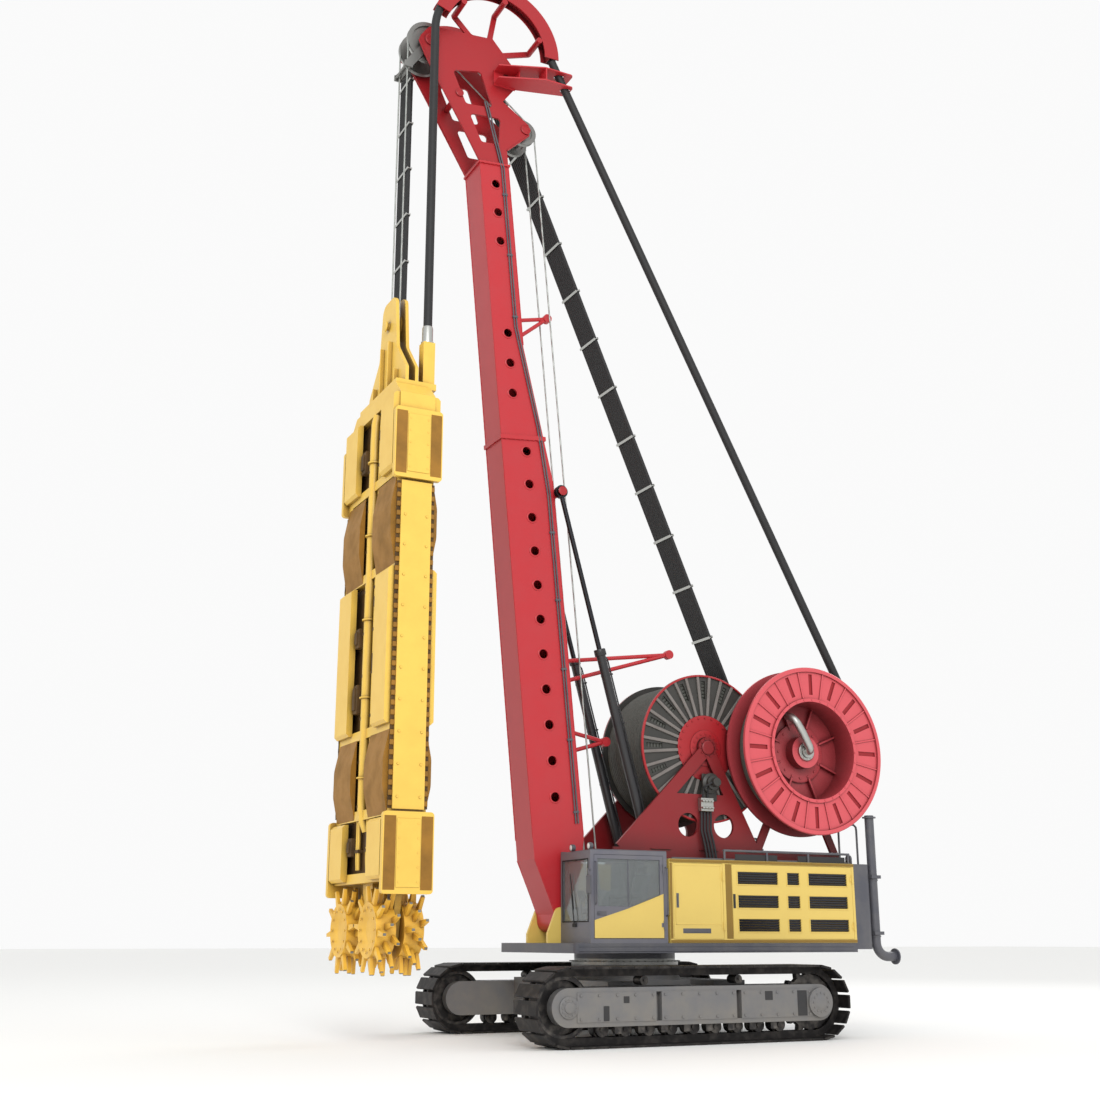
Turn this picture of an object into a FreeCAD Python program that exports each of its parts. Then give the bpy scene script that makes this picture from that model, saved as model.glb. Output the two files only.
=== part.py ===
import FreeCAD, Part
import Sketcher
import math
import os

from FreeCAD import Placement, Rotation, Vector

# A crawler carrier with a hanging trench cutter.  Millimetres; +X forward, +Y to the machine's
# left, +Z up; the origin is on the ground, on the axis about which the upperworks slew.

doc = FreeCAD.newDocument("TrenchCutter")
sheet = doc.addObject("Spreadsheet::Sheet", "Sizes")
nodes = {}
cells = []


# ---------------------------------------------------------------- sizes and their formulas

class Size:
    """A number that also remembers the sheet formula it comes from, so both stay in step."""

    def __init__(self, value, formula):
        self.value = value
        self.formula = formula

    def __add__(self, other):
        return join(self, other, "+", self.value + number(other))

    def __radd__(self, other):
        return join(other, self, "+", number(other) + self.value)

    def __sub__(self, other):
        return join(self, other, "-", self.value - number(other))

    def __rsub__(self, other):
        return join(other, self, "-", number(other) - self.value)

    def __mul__(self, other):
        return join(self, other, "*", self.value * number(other))

    def __rmul__(self, other):
        return join(other, self, "*", number(other) * self.value)

    def __truediv__(self, other):
        return join(self, other, "/", self.value / number(other))

    def __neg__(self):
        return join(0, self, "-", -self.value)


def number(item):
    """The plain number in a Size or a number."""
    return item.value if isinstance(item, Size) else item


def words(item):
    """The formula text of a Size or a number."""
    return item.formula if isinstance(item, Size) else f"{item:.6f}"


def join(left, right, sign, value):
    return Size(value, f"({words(left)} {sign} {words(right)})")


def dim(name, value):
    """Writes one driving size into the sheet and hands back the Size bound to its alias."""
    cells.append(name)
    row = len(cells)
    sheet.set(f"A{row}", name.replace("_", " "))
    sheet.set(f"B{row}", str(value))
    sheet.setAlias(f"B{row}", name)
    return Size(value, f"Sizes.{name}")


def bind(item, path, size):
    """Ties one property of an object to a size."""
    item.setExpression(path, words(size))


def vector(point):
    return Vector(*[number(part) for part in point])


def distance(start, end):
    """The distance between two points, as a Size."""
    gaps = [b - a for a, b in zip(start, end)]
    total = math.sqrt(sum(number(gap) ** 2 for gap in gaps))
    text = " + ".join(f"({words(gap)})^2" for gap in gaps)
    return Size(total, f"sqrt({text})")


# ---------------------------------------------------------------- solids made of primitives

def place(item, at, rotation=Rotation()):
    """Sets an object down at a point, turned by a rotation."""
    item.Placement = Placement(vector(at), rotation)
    for letter, part in zip("xyz", at):
        if isinstance(part, Size):
            bind(item, f"Placement.Base.{letter}", part)
    return item


def block(low, high):
    """A plain block between two opposite corners."""
    solid = doc.addObject("Part::Box", "Block")
    for side, start, end in zip(("Length", "Width", "Height"), low, high):
        bind(solid, side, end - start)
    return place(solid, low)


def rod(start, end, radius):
    """A round bar from one point to another."""
    solid = doc.addObject("Part::Cylinder", "Rod")
    bind(solid, "Radius", radius)
    bind(solid, "Height", distance(start, end))
    return place(solid, start, Rotation(Vector(0, 0, 1), vector(end) - vector(start)))


def bar(start, end, deep, wide):
    """A square bar from one point to another; its width runs along Y."""
    solid = doc.addObject("Part::Box", "Bar")
    bind(solid, "Length", deep)
    bind(solid, "Width", wide)
    bind(solid, "Height", distance(start, end))
    along = (vector(end) - vector(start)).normalize()
    across = Vector(0, 1, 0).cross(along).normalize()
    turn = Rotation(across, along.cross(across), along, "XYZ")
    corner = turn.multVec(Vector(-number(deep) / 2, -number(wide) / 2, 0))
    return place(solid, vector(start) + corner, turn)


def fuse(parts):
    joined = doc.addObject("Part::MultiFuse", "Joined")
    joined.Shapes = parts
    return joined


def cut(base, tools):
    hole = doc.addObject("Part::Cut", "Opened")
    hole.Base = base
    hole.Tool = tools[0] if len(tools) == 1 else fuse(tools)
    return hole


def group(parts):
    """Several separate solids kept as one piece."""
    bundle = doc.addObject("Part::Compound", "Set")
    bundle.Links = parts
    return bundle


def keep(name, item):
    """Names a finished piece, which names its file."""
    item.Label = name
    nodes[name] = item
    return item


# ---------------------------------------------------------------- sketched bodies

def new_body():
    owner = doc.addObject("PartDesign::Body", "Body")
    owner.AllowCompound = True
    return owner


def origin_feature(owner, role):
    return next(item for item in owner.Origin.OriginFeatures if item.Role == role)


def hold_point(drawing, shape, spot, x, y):
    """Ties one point of a sketch to its two distances from the sketch's origin."""
    for kind, part in (("DistanceX", x), ("DistanceY", y)):
        rule = drawing.addConstraint(Sketcher.Constraint(kind, -1, 1, shape, spot, number(part)))
        if isinstance(part, Size):
            drawing.setExpression(f"Constraints[{rule}]", part.formula)


def hold_radius(drawing, shape, radius):
    rule = drawing.addConstraint(Sketcher.Constraint("Radius", shape, number(radius)))
    if isinstance(radius, Size):
        drawing.setExpression(f"Constraints[{rule}]", radius.formula)


def circle(x, y, radius):
    """A round outline."""
    def draw(drawing):
        ring = Part.Circle(vector((x, y, 0)), Vector(0, 0, 1), number(radius))
        shape = drawing.addGeometry(ring, False)
        hold_point(drawing, shape, 3, x, y)
        hold_radius(drawing, shape, radius)
    return draw


def stadium(x_low, x_high, y, radius):
    """Two half circles joined by straight sides, long in x."""
    def draw(drawing):
        low, high, reach = number(x_low), number(x_high), number(radius)
        middle = number(y)
        axis = Vector(0, 0, 1)
        left_ring = Part.Circle(Vector(low, middle, 0), axis, reach)
        right_ring = Part.Circle(Vector(high, middle, 0), axis, reach)
        left = drawing.addGeometry(Part.ArcOfCircle(left_ring, math.pi / 2, 3 * math.pi / 2))
        right = drawing.addGeometry(Part.ArcOfCircle(right_ring, -math.pi / 2, math.pi / 2))
        ends = (Vector(low, middle + reach, 0), Vector(high, middle + reach, 0))
        top = drawing.addGeometry(Part.LineSegment(ends[1], ends[0]))
        ends = (Vector(low, middle - reach, 0), Vector(high, middle - reach, 0))
        bottom = drawing.addGeometry(Part.LineSegment(ends[0], ends[1]))
        for first, spot, second, other in ((right, 2, top, 1), (top, 2, left, 1),
                                           (left, 2, bottom, 1), (bottom, 2, right, 1)):
            drawing.addConstraint(Sketcher.Constraint("Tangent", first, spot, second, other))
        drawing.addConstraint(Sketcher.Constraint("Equal", left, right))
        hold_point(drawing, left, 3, x_low, y)
        hold_point(drawing, right, 3, x_high, y)
        hold_radius(drawing, left, radius)
    return draw


def polygon(*corners):
    """A closed outline of straight sides; a corner given as (x, y, radius) is rounded."""
    def draw(drawing):
        count = len(corners)
        points = [vector((corner[0], corner[1], 0)) for corner in corners]
        entries, exits, centres = [], [], []
        for index, corner in enumerate(corners):
            here = points[index]
            if len(corner) == 2:
                entries.append(here)
                exits.append(here)
                centres.append(None)
                continue
            back = (points[index - 1] - here).normalize()
            ahead = (points[(index + 1) % count] - here).normalize()
            half = back.getAngle(ahead) / 2
            reach = number(corner[2]) / math.tan(half)
            entries.append(here + back * reach)
            exits.append(here + ahead * reach)
            centres.append(here + (back + ahead).normalize() * (number(corner[2]) / math.sin(half)))
        sides = []
        for index in range(count):
            line = Part.LineSegment(exits[index], entries[(index + 1) % count])
            sides.append(drawing.addGeometry(line))
        for index, corner in enumerate(corners):
            before, after = sides[index - 1], sides[index]
            if len(corner) == 2:
                drawing.addConstraint(Sketcher.Constraint("Coincident", before, 2, after, 1))
                hold_point(drawing, after, 1, corner[0], corner[1])
                continue
            round_corner(drawing, corner, before, after, entries[index], exits[index],
                         centres[index])
    return draw


def round_corner(drawing, corner, before, after, entry, leave, centre):
    """Puts a tangent arc between two sides; the sharp corner stays as a held point."""
    ring = Part.Circle(centre, Vector(0, 0, 1), number(corner[2]))
    first, second = (entry - centre), (leave - centre)
    left_turn = first.cross(second).z > 0
    angles = [math.atan2(arm.y, arm.x) for arm in (first, second)]
    if not left_turn:
        angles.reverse()
    arc = drawing.addGeometry(Part.ArcOfCircle(ring, *angles))
    into, out = (1, 2) if left_turn else (2, 1)
    drawing.addConstraint(Sketcher.Constraint("Tangent", before, 2, arc, into))
    drawing.addConstraint(Sketcher.Constraint("Tangent", arc, out, after, 1))
    tip = drawing.addGeometry(Part.Point(vector((corner[0], corner[1], 0))), True)
    hold_point(drawing, tip, 1, corner[0], corner[1])
    drawing.addConstraint(Sketcher.Constraint("PointOnObject", tip, 1, before))
    drawing.addConstraint(Sketcher.Constraint("PointOnObject", tip, 1, after))
    hold_radius(drawing, arc, corner[2])


def sketch(owner, role, outlines, lift=0):
    """Outlines on one of the body's own planes, or at a height above it."""
    drawing = owner.newObject("Sketcher::SketchObject", "Outline")
    drawing.AttachmentSupport = [(origin_feature(owner, role), "")]
    drawing.MapMode = "FlatFace"
    bind(drawing, "AttachmentOffset.Base.z", lift)
    for draw in outlines:
        draw(drawing)
    return drawing


def pad(owner, drawing, length, side="Symmetric"):
    """Thickens an outline, to both sides of its plane unless told otherwise."""
    solid = owner.newObject("PartDesign::Pad", "Pad")
    solid.Profile = drawing
    solid.SideType = side
    bind(solid, "Length", length)
    return solid


def pocket(owner, drawing, length, side="Symmetric"):
    """Cuts an outline away, to both sides of its plane unless told otherwise."""
    hole = owner.newObject("PartDesign::Pocket", "Pocket")
    hole.Profile = drawing
    hole.SideType = side
    bind(hole, "Length", length)
    return hole


def revolve(owner, drawing, axis, angle=360):
    """Turns an outline about one of the body's own axes."""
    solid = owner.newObject("PartDesign::Revolution", "Revolution")
    solid.Profile = drawing
    solid.ReferenceAxis = (origin_feature(owner, axis), [""])
    bind(solid, "Angle", angle)
    return solid


def repeat_along(owner, features, axis, length, count):
    """Copies features in a row; the length is from the first to the last."""
    row = owner.newObject("PartDesign::LinearPattern", "Row")
    row.Originals = features
    row.Direction = (origin_feature(owner, axis), [""])
    row.Mode = "Extent"
    bind(row, "Length", length)
    row.Occurrences = count
    owner.Tip = row
    return row


def repeat_around(owner, features, axis, angle, count, backwards=False):
    """Copies features round an axis; the angle is from the first to the last."""
    wheel = owner.newObject("PartDesign::PolarPattern", "Wheel")
    wheel.Originals = features
    wheel.Axis = axis
    wheel.Mode = "Extent"
    bind(wheel, "Angle", angle)
    wheel.Occurrences = count
    wheel.Reversed = backwards
    owner.Tip = wheel
    return wheel


def own_axis(owner, role):
    return (origin_feature(owner, role), [""])


# ---------------------------------------------------------------- sizes shared by many pieces

running_gap = dim("running_gap", 0.3)
pin_gap = dim("pin_gap", 0.05)
track_gauge = dim("track_gauge", 4200)
wheel_base = dim("wheel_base", 4730)
shoe_width = dim("shoe_width", 800)
shoe_thickness = dim("shoe_thickness", 36)
end_radius = dim("end_radius", 605)
deck_bottom = dim("deck_bottom", 1400)
deck_thickness = dim("deck_thickness", 160)
deck_front = dim("deck_front", 1750)
deck_rear = dim("deck_rear", 4400)
deck_width = dim("deck_width", 3000)
house_top = dim("house_top", 2950)
foot_x = dim("foot_x", 1350)
foot_height = dim("foot_height", 1950)
boom_lean = dim("boom_lean", 5.3)
boom_width = dim("boom_width", 700)
cutter_x = dim("cutter_x", 4660)

deck_top = deck_bottom + deck_thickness
half_deck = deck_width / 2
half_base = wheel_base / 2
half_gauge = track_gauge / 2
half_boom = boom_width / 2


# ---------------------------------------------------------------- tracks

# Each track is one closed loop: two rails of links with a flat shoe on every pitch.  A straight
# run holds 21 shoes, and 7 more go round each end, square to the rails.
straight_shoes = 21
end_shoes = 7
rail_depth = dim("rail_depth", 114)
rail_width = dim("rail_width", 55)
rail_centres = dim("rail_centres", 190)
shoe_gap = dim("shoe_gap", 8)
shoe_bevel = dim("shoe_bevel", 12)
shoe_sink = dim("shoe_sink", 3)
end_drop = dim("end_drop", 8)

shoe_pitch = wheel_base / straight_shoes
half_shoe = (shoe_pitch - shoe_gap) / 2
shoe_base = end_radius - shoe_thickness
rail_inner = shoe_base - rail_depth
rails_out = rail_centres + rail_width
rails_in = rail_centres - rail_width
shoe_angle = 180 / end_shoes


def shoe_outline(across, up, flip=1):
    """One shoe's section, its flat side towards the links."""
    low, high = up * flip, (up + shoe_thickness) * flip
    brow = (up + shoe_thickness - shoe_bevel) * flip
    corners = [(across - half_shoe, low), (across + half_shoe, low), (across + half_shoe, brow),
               (across + half_shoe - shoe_bevel, high), (across - half_shoe + shoe_bevel, high),
               (across - half_shoe, brow)]
    return polygon(*corners)


def make_track(side, turn):
    track = new_body()
    loop = [stadium(-half_base, half_base, 0, shoe_base + shoe_sink),
            stadium(-half_base, half_base, 0, rail_inner)]
    pad(track, sketch(track, "XZ_Plane", loop), rails_out)
    pocket(track, sketch(track, "XZ_Plane", loop), rails_in)
    first = shoe_pitch / 2 - half_base
    runs = []
    for flip in (1, -1):
        drawing = sketch(track, "XZ_Plane", [shoe_outline(first, shoe_base, flip)])
        runs.append(pad(track, drawing, shoe_width))
    repeat_along(track, runs, "X_Axis", shoe_pitch * (straight_shoes - 1), straight_shoes)
    for end in (1, -1):
        drawing = sketch(track, "XZ_Plane", [shoe_outline(Size(0, "0"), shoe_base - end_drop)])
        offset = Placement(Vector(), Rotation(Vector(0, 0, 1), -end * shoe_angle / 2))
        drawing.AttachmentOffset = offset
        bind(drawing, "AttachmentOffset.Base.x", half_base * end)
        shoe = pad(track, drawing, shoe_width)
        repeat_around(track, [shoe], (drawing, ["N_Axis"]), shoe_angle * (end_shoes - 1),
                      end_shoes, backwards=end > 0)
    place(track, (0, half_gauge * turn, end_radius))
    keep(f"track_{side}", track)


for side, turn in (("left", 1), ("right", -1)):
    make_track(side, turn)


# ---------------------------------------------------------------- track frames and wheels

# A heavy round-ended beam runs inside each track.  Its ends fork round the sprocket at the rear
# and the idler in front; the rollers sit in a channel under it.
frame_width = dim("frame_width", 640)
frame_end_radius = dim("frame_end_radius", 290)
fork_gap = dim("fork_gap", 300)
fork_depth = dim("fork_depth", 585)
channel_top = dim("channel_top", 400)
roller_radius = dim("roller_radius", 110)
roller_flange = dim("roller_flange", 18)
roller_bore_end = dim("roller_bore_end", 45)
rollers_per_track = 9
roller_span = dim("roller_span", 3360)
carrier_radius = dim("carrier_radius", 72)
carrier_x = dim("carrier_x", 900)
carrier_bracket = dim("carrier_bracket", 40)
cover_plate = dim("cover_plate", 12)
cover_gap = dim("cover_gap", 100)
slot_depth = dim("slot_depth", 120)
cover_plates = 3
cover_height = dim("cover_height", 440)
idler_flange = dim("idler_flange", 45)
hub_radius = dim("hub_radius", 150)
web_width = dim("web_width", 60)
sprocket_root = dim("sprocket_root", 440)
sprocket_tip = dim("sprocket_tip", 530)
tooth_width = dim("tooth_width", 110)
tooth_root = dim("tooth_root", 120)
tooth_crest = dim("tooth_crest", 46)
drive_cover_radius = dim("drive_cover_radius", 235)
drive_cover_depth = dim("drive_cover_depth", 60)

half_fork = fork_gap / 2
carrier_z = rail_inner - carrier_radius - running_gap
cover_pitch = (wheel_base - frame_end_radius + cover_gap) / cover_plates
cover_length = cover_pitch - cover_gap


def make_track_frame(side, turn):
    beam = new_body()
    pad(beam, sketch(beam, "XZ_Plane", [stadium(-half_base, half_base, 0, frame_end_radius)]),
        frame_width)
    reach = half_base + frame_end_radius * 2
    for end in (1, -1):
        fork = polygon(((half_base - fork_depth) * end, -half_fork), (reach * end, -half_fork),
                       (reach * end, half_fork), ((half_base - fork_depth) * end, half_fork))
        pocket(beam, sketch(beam, "XY_Plane", [fork]), frame_end_radius * 2 + 2)
    channel = polygon((-half_fork, -end_radius), (half_fork, -end_radius),
                      (half_fork, channel_top - end_radius), (-half_fork, channel_top - end_radius))
    pocket(beam, sketch(beam, "YZ_Plane", [channel]), wheel_base)
    # The light cover plates outside, with upright gaps between them.
    first = -(cover_pitch * cover_plates - cover_gap) / 2
    plate = polygon((first, -cover_height / 2), (first + cover_length, -cover_height / 2),
                    (first + cover_length, cover_height / 2), (first, cover_height / 2))
    outer = sketch(beam, "XZ_Plane", [plate], frame_width / 2)
    cover = pad(beam, outer, cover_plate, "One side")
    repeat_along(beam, [cover], "X_Axis", cover_pitch * (cover_plates - 1), cover_plates)
    # Deep upright slots part the covers, and the beam's wall stays whole behind them.
    for share in range(1, cover_plates):
        edge = first + cover_pitch * share - cover_gap
        slot = polygon((edge, -cover_height / 2), (edge + cover_gap, -cover_height / 2),
                       (edge + cover_gap, cover_height / 2), (edge, cover_height / 2))
        pocket(beam, sketch(beam, "XZ_Plane", [slot], frame_width / 2 - slot_depth),
               slot_depth + cover_plate, "One side").Reversed = True
    # Ears on the beam's back hold the carrier rollers.
    for end in (1, -1):
        middle = carrier_x * end
        top = carrier_z - end_radius + carrier_bracket
        for start in (half_fork, -half_fork - carrier_bracket):
            ear = polygon((middle - carrier_bracket, start),
                          (middle + carrier_bracket, start),
                          (middle + carrier_bracket, start + carrier_bracket),
                          (middle - carrier_bracket, start + carrier_bracket))
            pad(beam, sketch(beam, "XY_Plane", [ear]), top, "One side")
    # The outer cover of the drive, over the sprocket's axle at the rear.
    ring = circle(half_base * turn, 0, drive_cover_radius)
    pad(beam, sketch(beam, "XZ_Plane", [ring], frame_width / 2), drive_cover_depth, "One side")
    place(beam, (0, half_gauge * turn, end_radius), Rotation(Vector(0, 0, 1), 90 + 90 * turn))
    keep(f"track_frame_{side}", beam)


for side, turn in (("left", 1), ("right", -1)):
    make_track_frame(side, turn)


def wheel_about_y(corners):
    """A turned wheel: its half section is given as (distance along Y, radius)."""
    wheel = new_body()
    revolve(wheel, sketch(wheel, "YZ_Plane", [polygon(*corners)]), "Y_Axis")
    return wheel


def make_roller():
    """A track roller: two treads under the rails, a rib between them, a shaft to the channel."""
    tread_in = rails_in / 2 - running_gap * 10
    tread_out = rails_out / 2 + roller_bore_end / 4
    wall = half_fork - running_gap
    rib = roller_radius + roller_flange
    return wheel_about_y([(-wall, 0), (-wall, roller_bore_end), (-tread_out, roller_bore_end),
                          (-tread_out, roller_radius), (-tread_in, roller_radius),
                          (-tread_in, rib), (tread_in, rib), (tread_in, roller_radius),
                          (tread_out, roller_radius), (tread_out, roller_bore_end),
                          (wall, roller_bore_end), (wall, 0)])


def make_carrier():
    """A plain small roller under the upper run."""
    wall = half_fork - running_gap
    tread = rails_out / 2
    return wheel_about_y([(-wall, 0), (-wall, carrier_bracket / 2), (-tread, carrier_bracket / 2),
                          (-tread, carrier_radius), (tread, carrier_radius),
                          (tread, carrier_bracket / 2), (wall, carrier_bracket / 2), (wall, 0)])


def make_rollers(turn):
    rollers = []
    step = roller_span / (rollers_per_track - 1)
    height = end_radius - rail_inner + roller_radius + running_gap
    for index in range(rollers_per_track):
        roller = make_roller()
        rollers.append(place(roller, (step * index - roller_span / 2, half_gauge * turn, height)))
    for end in (1, -1):
        carrier = make_carrier()
        rollers.append(place(carrier, (carrier_x * end, half_gauge * turn,
                                       end_radius + carrier_z)))
    return rollers


def make_idler(turn):
    """The front wheel: a rim under the rails, a rib between them, a web and a hub."""
    wall = half_fork - running_gap
    rim = rail_inner - running_gap
    rim_out = rails_out / 2
    rib = rails_in / 2 - running_gap * 10
    inside = rim - idler_flange
    half_web = web_width / 2
    idler = wheel_about_y([(-wall, 0), (-wall, hub_radius), (-half_web, hub_radius),
                           (-half_web, inside), (-rim_out, inside), (-rim_out, rim), (-rib, rim),
                           (-rib, rim + idler_flange), (rib, rim + idler_flange), (rib, rim),
                           (rim_out, rim), (rim_out, inside), (half_web, inside),
                           (half_web, hub_radius), (wall, hub_radius), (wall, 0)])
    return place(idler, (half_base, half_gauge * turn, end_radius))


def make_sprocket(turn):
    """The rear wheel: twice as many teeth as shoes round one end, and its hub."""
    sprocket = new_body()
    pad(sprocket, sketch(sprocket, "XZ_Plane", [circle(0, 0, hub_radius)]),
        fork_gap - running_gap * 2)
    pad(sprocket, sketch(sprocket, "XZ_Plane", [circle(0, 0, sprocket_root)]), tooth_width)
    tooth = polygon((-tooth_root / 2, sprocket_root - shoe_bevel),
                    (tooth_root / 2, sprocket_root - shoe_bevel),
                    (tooth_crest / 2, sprocket_tip), (-tooth_crest / 2, sprocket_tip))
    first = pad(sprocket, sketch(sprocket, "XZ_Plane", [tooth]), tooth_width)
    repeat_around(sprocket, [first], own_axis(sprocket, "Y_Axis"), 360, end_shoes * 2)
    return place(sprocket, (-half_base, half_gauge * turn, end_radius))


keep("track_rollers", group(make_rollers(1) + make_rollers(-1)))
keep("idlers", group([make_idler(1), make_idler(-1)]))
keep("sprockets", group([make_sprocket(1), make_sprocket(-1)]))


# ---------------------------------------------------------------- carbody and slewing ring

arm_inner = dim("arm_inner", 700)
arm_outer = dim("arm_outer", 1320)
arm_bottom = dim("arm_bottom", 470)
arm_top = dim("arm_top", 960)
core_half = dim("core_half", 1050)
drum_radius = dim("drum_radius", 980)
drum_neck = dim("drum_neck", 880)
drum_top = dim("drum_top", 1200)
race_outer = dim("race_outer", 890)
race_inner = dim("race_inner", 700)
race_flange = dim("race_flange", 50)
race_top = dim("race_top", 1300)

frame_face = half_gauge - frame_width / 2
carbody = new_body()
arms = polygon((-arm_outer, -frame_face), (-arm_inner, -frame_face), (-arm_inner, -core_half),
               (arm_inner, -core_half), (arm_inner, -frame_face), (arm_outer, -frame_face),
               (arm_outer, frame_face), (arm_inner, frame_face), (arm_inner, core_half),
               (-arm_inner, core_half), (-arm_inner, frame_face), (-arm_outer, frame_face))
pad(carbody, sketch(carbody, "XY_Plane", [arms]), arm_top - arm_bottom, "One side")
cone = polygon((0, 0), (drum_radius, 0), (drum_radius, arm_top - arm_bottom),
               (drum_neck, drum_top - race_flange - arm_bottom),
               (race_outer + race_flange, drum_top - race_flange - arm_bottom),
               (race_outer + race_flange, drum_top - arm_bottom), (0, drum_top - arm_bottom))
revolve(carbody, sketch(carbody, "XZ_Plane", [cone]), "Z_Axis")
keep("carbody", place(carbody, (0, 0, arm_bottom)))

race = new_body()
section = polygon((race_inner, 0), (race_outer + race_flange, 0),
                  (race_outer + race_flange, race_flange), (race_outer, race_flange),
                  (race_outer, race_top - drum_top), (race_inner, race_top - drum_top))
revolve(race, sketch(race, "XZ_Plane", [section]), "Z_Axis")
keep("slewing_ring", place(race, (0, 0, drum_top)))


# ---------------------------------------------------------------- main frame and counterweight

web_inner = dim("web_inner", 600)
web_thick = dim("web_thick", 50)
web_front = dim("web_front", 100)
deck_corner = dim("deck_corner", 120)
luff_pin_x = dim("luff_pin_x", 400)
luff_pin_z = dim("luff_pin_z", 2550)
luff_pin_radius = dim("luff_pin_radius", 60)
weight_depth = dim("weight_depth", 420)
weight_bottom = dim("weight_bottom", 1450)
weight_round = dim("weight_round", 160)

weight_face = deck_rear - weight_depth
main_frame = new_body()
deck = polygon((-weight_face, -half_deck), (deck_front, -half_deck, deck_corner),
               (deck_front, half_deck, deck_corner), (-weight_face, half_deck))
pad(main_frame, sketch(main_frame, "XY_Plane", [deck]), deck_thickness, "One side")
pad(main_frame, sketch(main_frame, "XY_Plane", [circle(0, 0, race_outer)],
                       race_top + running_gap - deck_bottom),
    deck_bottom - race_top - running_gap, "One side")
for turn in (1, -1):
    web = polygon((-weight_face, web_inner * turn), (-web_front, web_inner * turn),
                  (-web_front, (web_inner + web_thick) * turn),
                  (-weight_face, (web_inner + web_thick) * turn))
    pad(main_frame, sketch(main_frame, "XY_Plane", [web], deck_thickness),
        house_top - deck_top, "One side")
place(main_frame, (0, 0, deck_bottom))
luff_shaft = rod((-luff_pin_x, -web_inner, luff_pin_z), (-luff_pin_x, web_inner, luff_pin_z),
                 luff_pin_radius)
keep("main_frame", fuse([main_frame, luff_shaft]))

# The counterweight hangs behind the deck; its outer corners are rounded.
counterweight = new_body()
slab = polygon((-deck_rear, -half_deck, weight_round), (-weight_face, -half_deck),
               (-weight_face, half_deck), (-deck_rear, half_deck, weight_round))
pad(counterweight, sketch(counterweight, "XY_Plane", [slab]), house_top - weight_bottom,
    "One side")
keep("counterweight", place(counterweight, (0, 0, weight_bottom)))


# ---------------------------------------------------------------- machine houses and their doors

# Two sheet-steel houses stand on the deck, one each side of the open bay in the middle.  Each has
# a plain service door and a long louvred door, hinged at their rear edges.
house_wall = dim("house_wall", 30)
house_front_left = dim("house_front_left", 50)
house_front_right = dim("house_front_right", 600)
door_thick = dim("door_thick", 30)
door_gap = dim("door_gap", 6)
service_front = dim("service_front", 120)
service_rear = dim("service_rear", 1130)
louvre_front = dim("louvre_front", 1320)
louvre_rear = dim("louvre_rear", 3930)
sill = dim("sill", 60)
slot_height = dim("slot_height", 210)
slot_pitch = dim("slot_pitch", 400)
slot_wide = dim("slot_wide", 850)
slot_narrow = dim("slot_narrow", 260)
slot_margin = dim("slot_margin", 120)
slot_rows = 3

web_face = web_inner + web_thick
door_bottom = deck_top + sill
door_top = house_top - sill


def mirrored(low, high, turn):
    """A block whose two corners are given for the left side, set on either side."""
    if turn > 0:
        return block(low, high)
    return block((low[0], -high[1], low[2]), (high[0], -low[1], high[2]))


hinge_radius = dim("hinge_radius", 14)
hinge_leaf = dim("hinge_leaf", 50)
leaf_thick = dim("leaf_thick", 6)
knuckle = dim("knuckle", 70)
hinge_inset = dim("hinge_inset", 220)


def hinge(x, z, turn):
    """The moving half and the fixed half of a hinge on a wall's outer face."""
    y = (half_deck + hinge_radius + running_gap) * turn
    rows = ((z - knuckle / 2, z + knuckle / 2, x, x + hinge_leaf),
            (z - knuckle - running_gap, z - knuckle / 2 - running_gap, x - hinge_leaf, x),
            (z + knuckle / 2 + running_gap, z + knuckle + running_gap, x - hinge_leaf, x))
    halves = []
    for low, high, start, end in rows:
        leaf = mirrored((start, half_deck - leaf_thick, low), (end, half_deck + leaf_thick, high),
                        turn)
        halves.append([rod((x, y, low), (x, y, high), hinge_radius), leaf])
    return halves[0], halves[1] + halves[2]


def two_hinges(x, low, high, turn):
    """A hinge near the foot and one near the head of a door."""
    moving, fixed = hinge(x, low + hinge_inset, turn)
    upper_moving, upper_fixed = hinge(x, high - hinge_inset, turn)
    return moving + upper_moving, fixed + upper_fixed


def make_house(side, turn, front):
    shell = mirrored((-weight_face, web_face, deck_top), (front, half_deck, house_top), turn)
    room = mirrored((-weight_face + house_wall, web_face + house_wall, deck_top + house_wall),
                    (front - house_wall, half_deck - house_wall, house_top - house_wall), turn)
    tools = [room]
    for start, end in ((service_rear, service_front), (louvre_rear, louvre_front)):
        tools.append(mirrored((-start, half_deck - house_wall * 2, door_bottom),
                              (-end, half_deck + house_wall, door_top), turn))
    fixed = []
    for rear in (service_rear, louvre_rear):
        fixed += two_hinges(door_gap / 2 - rear, door_bottom, door_top, turn)[1]
    keep(f"house_{side}", fuse([cut(shell, tools)] + fixed))


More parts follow.
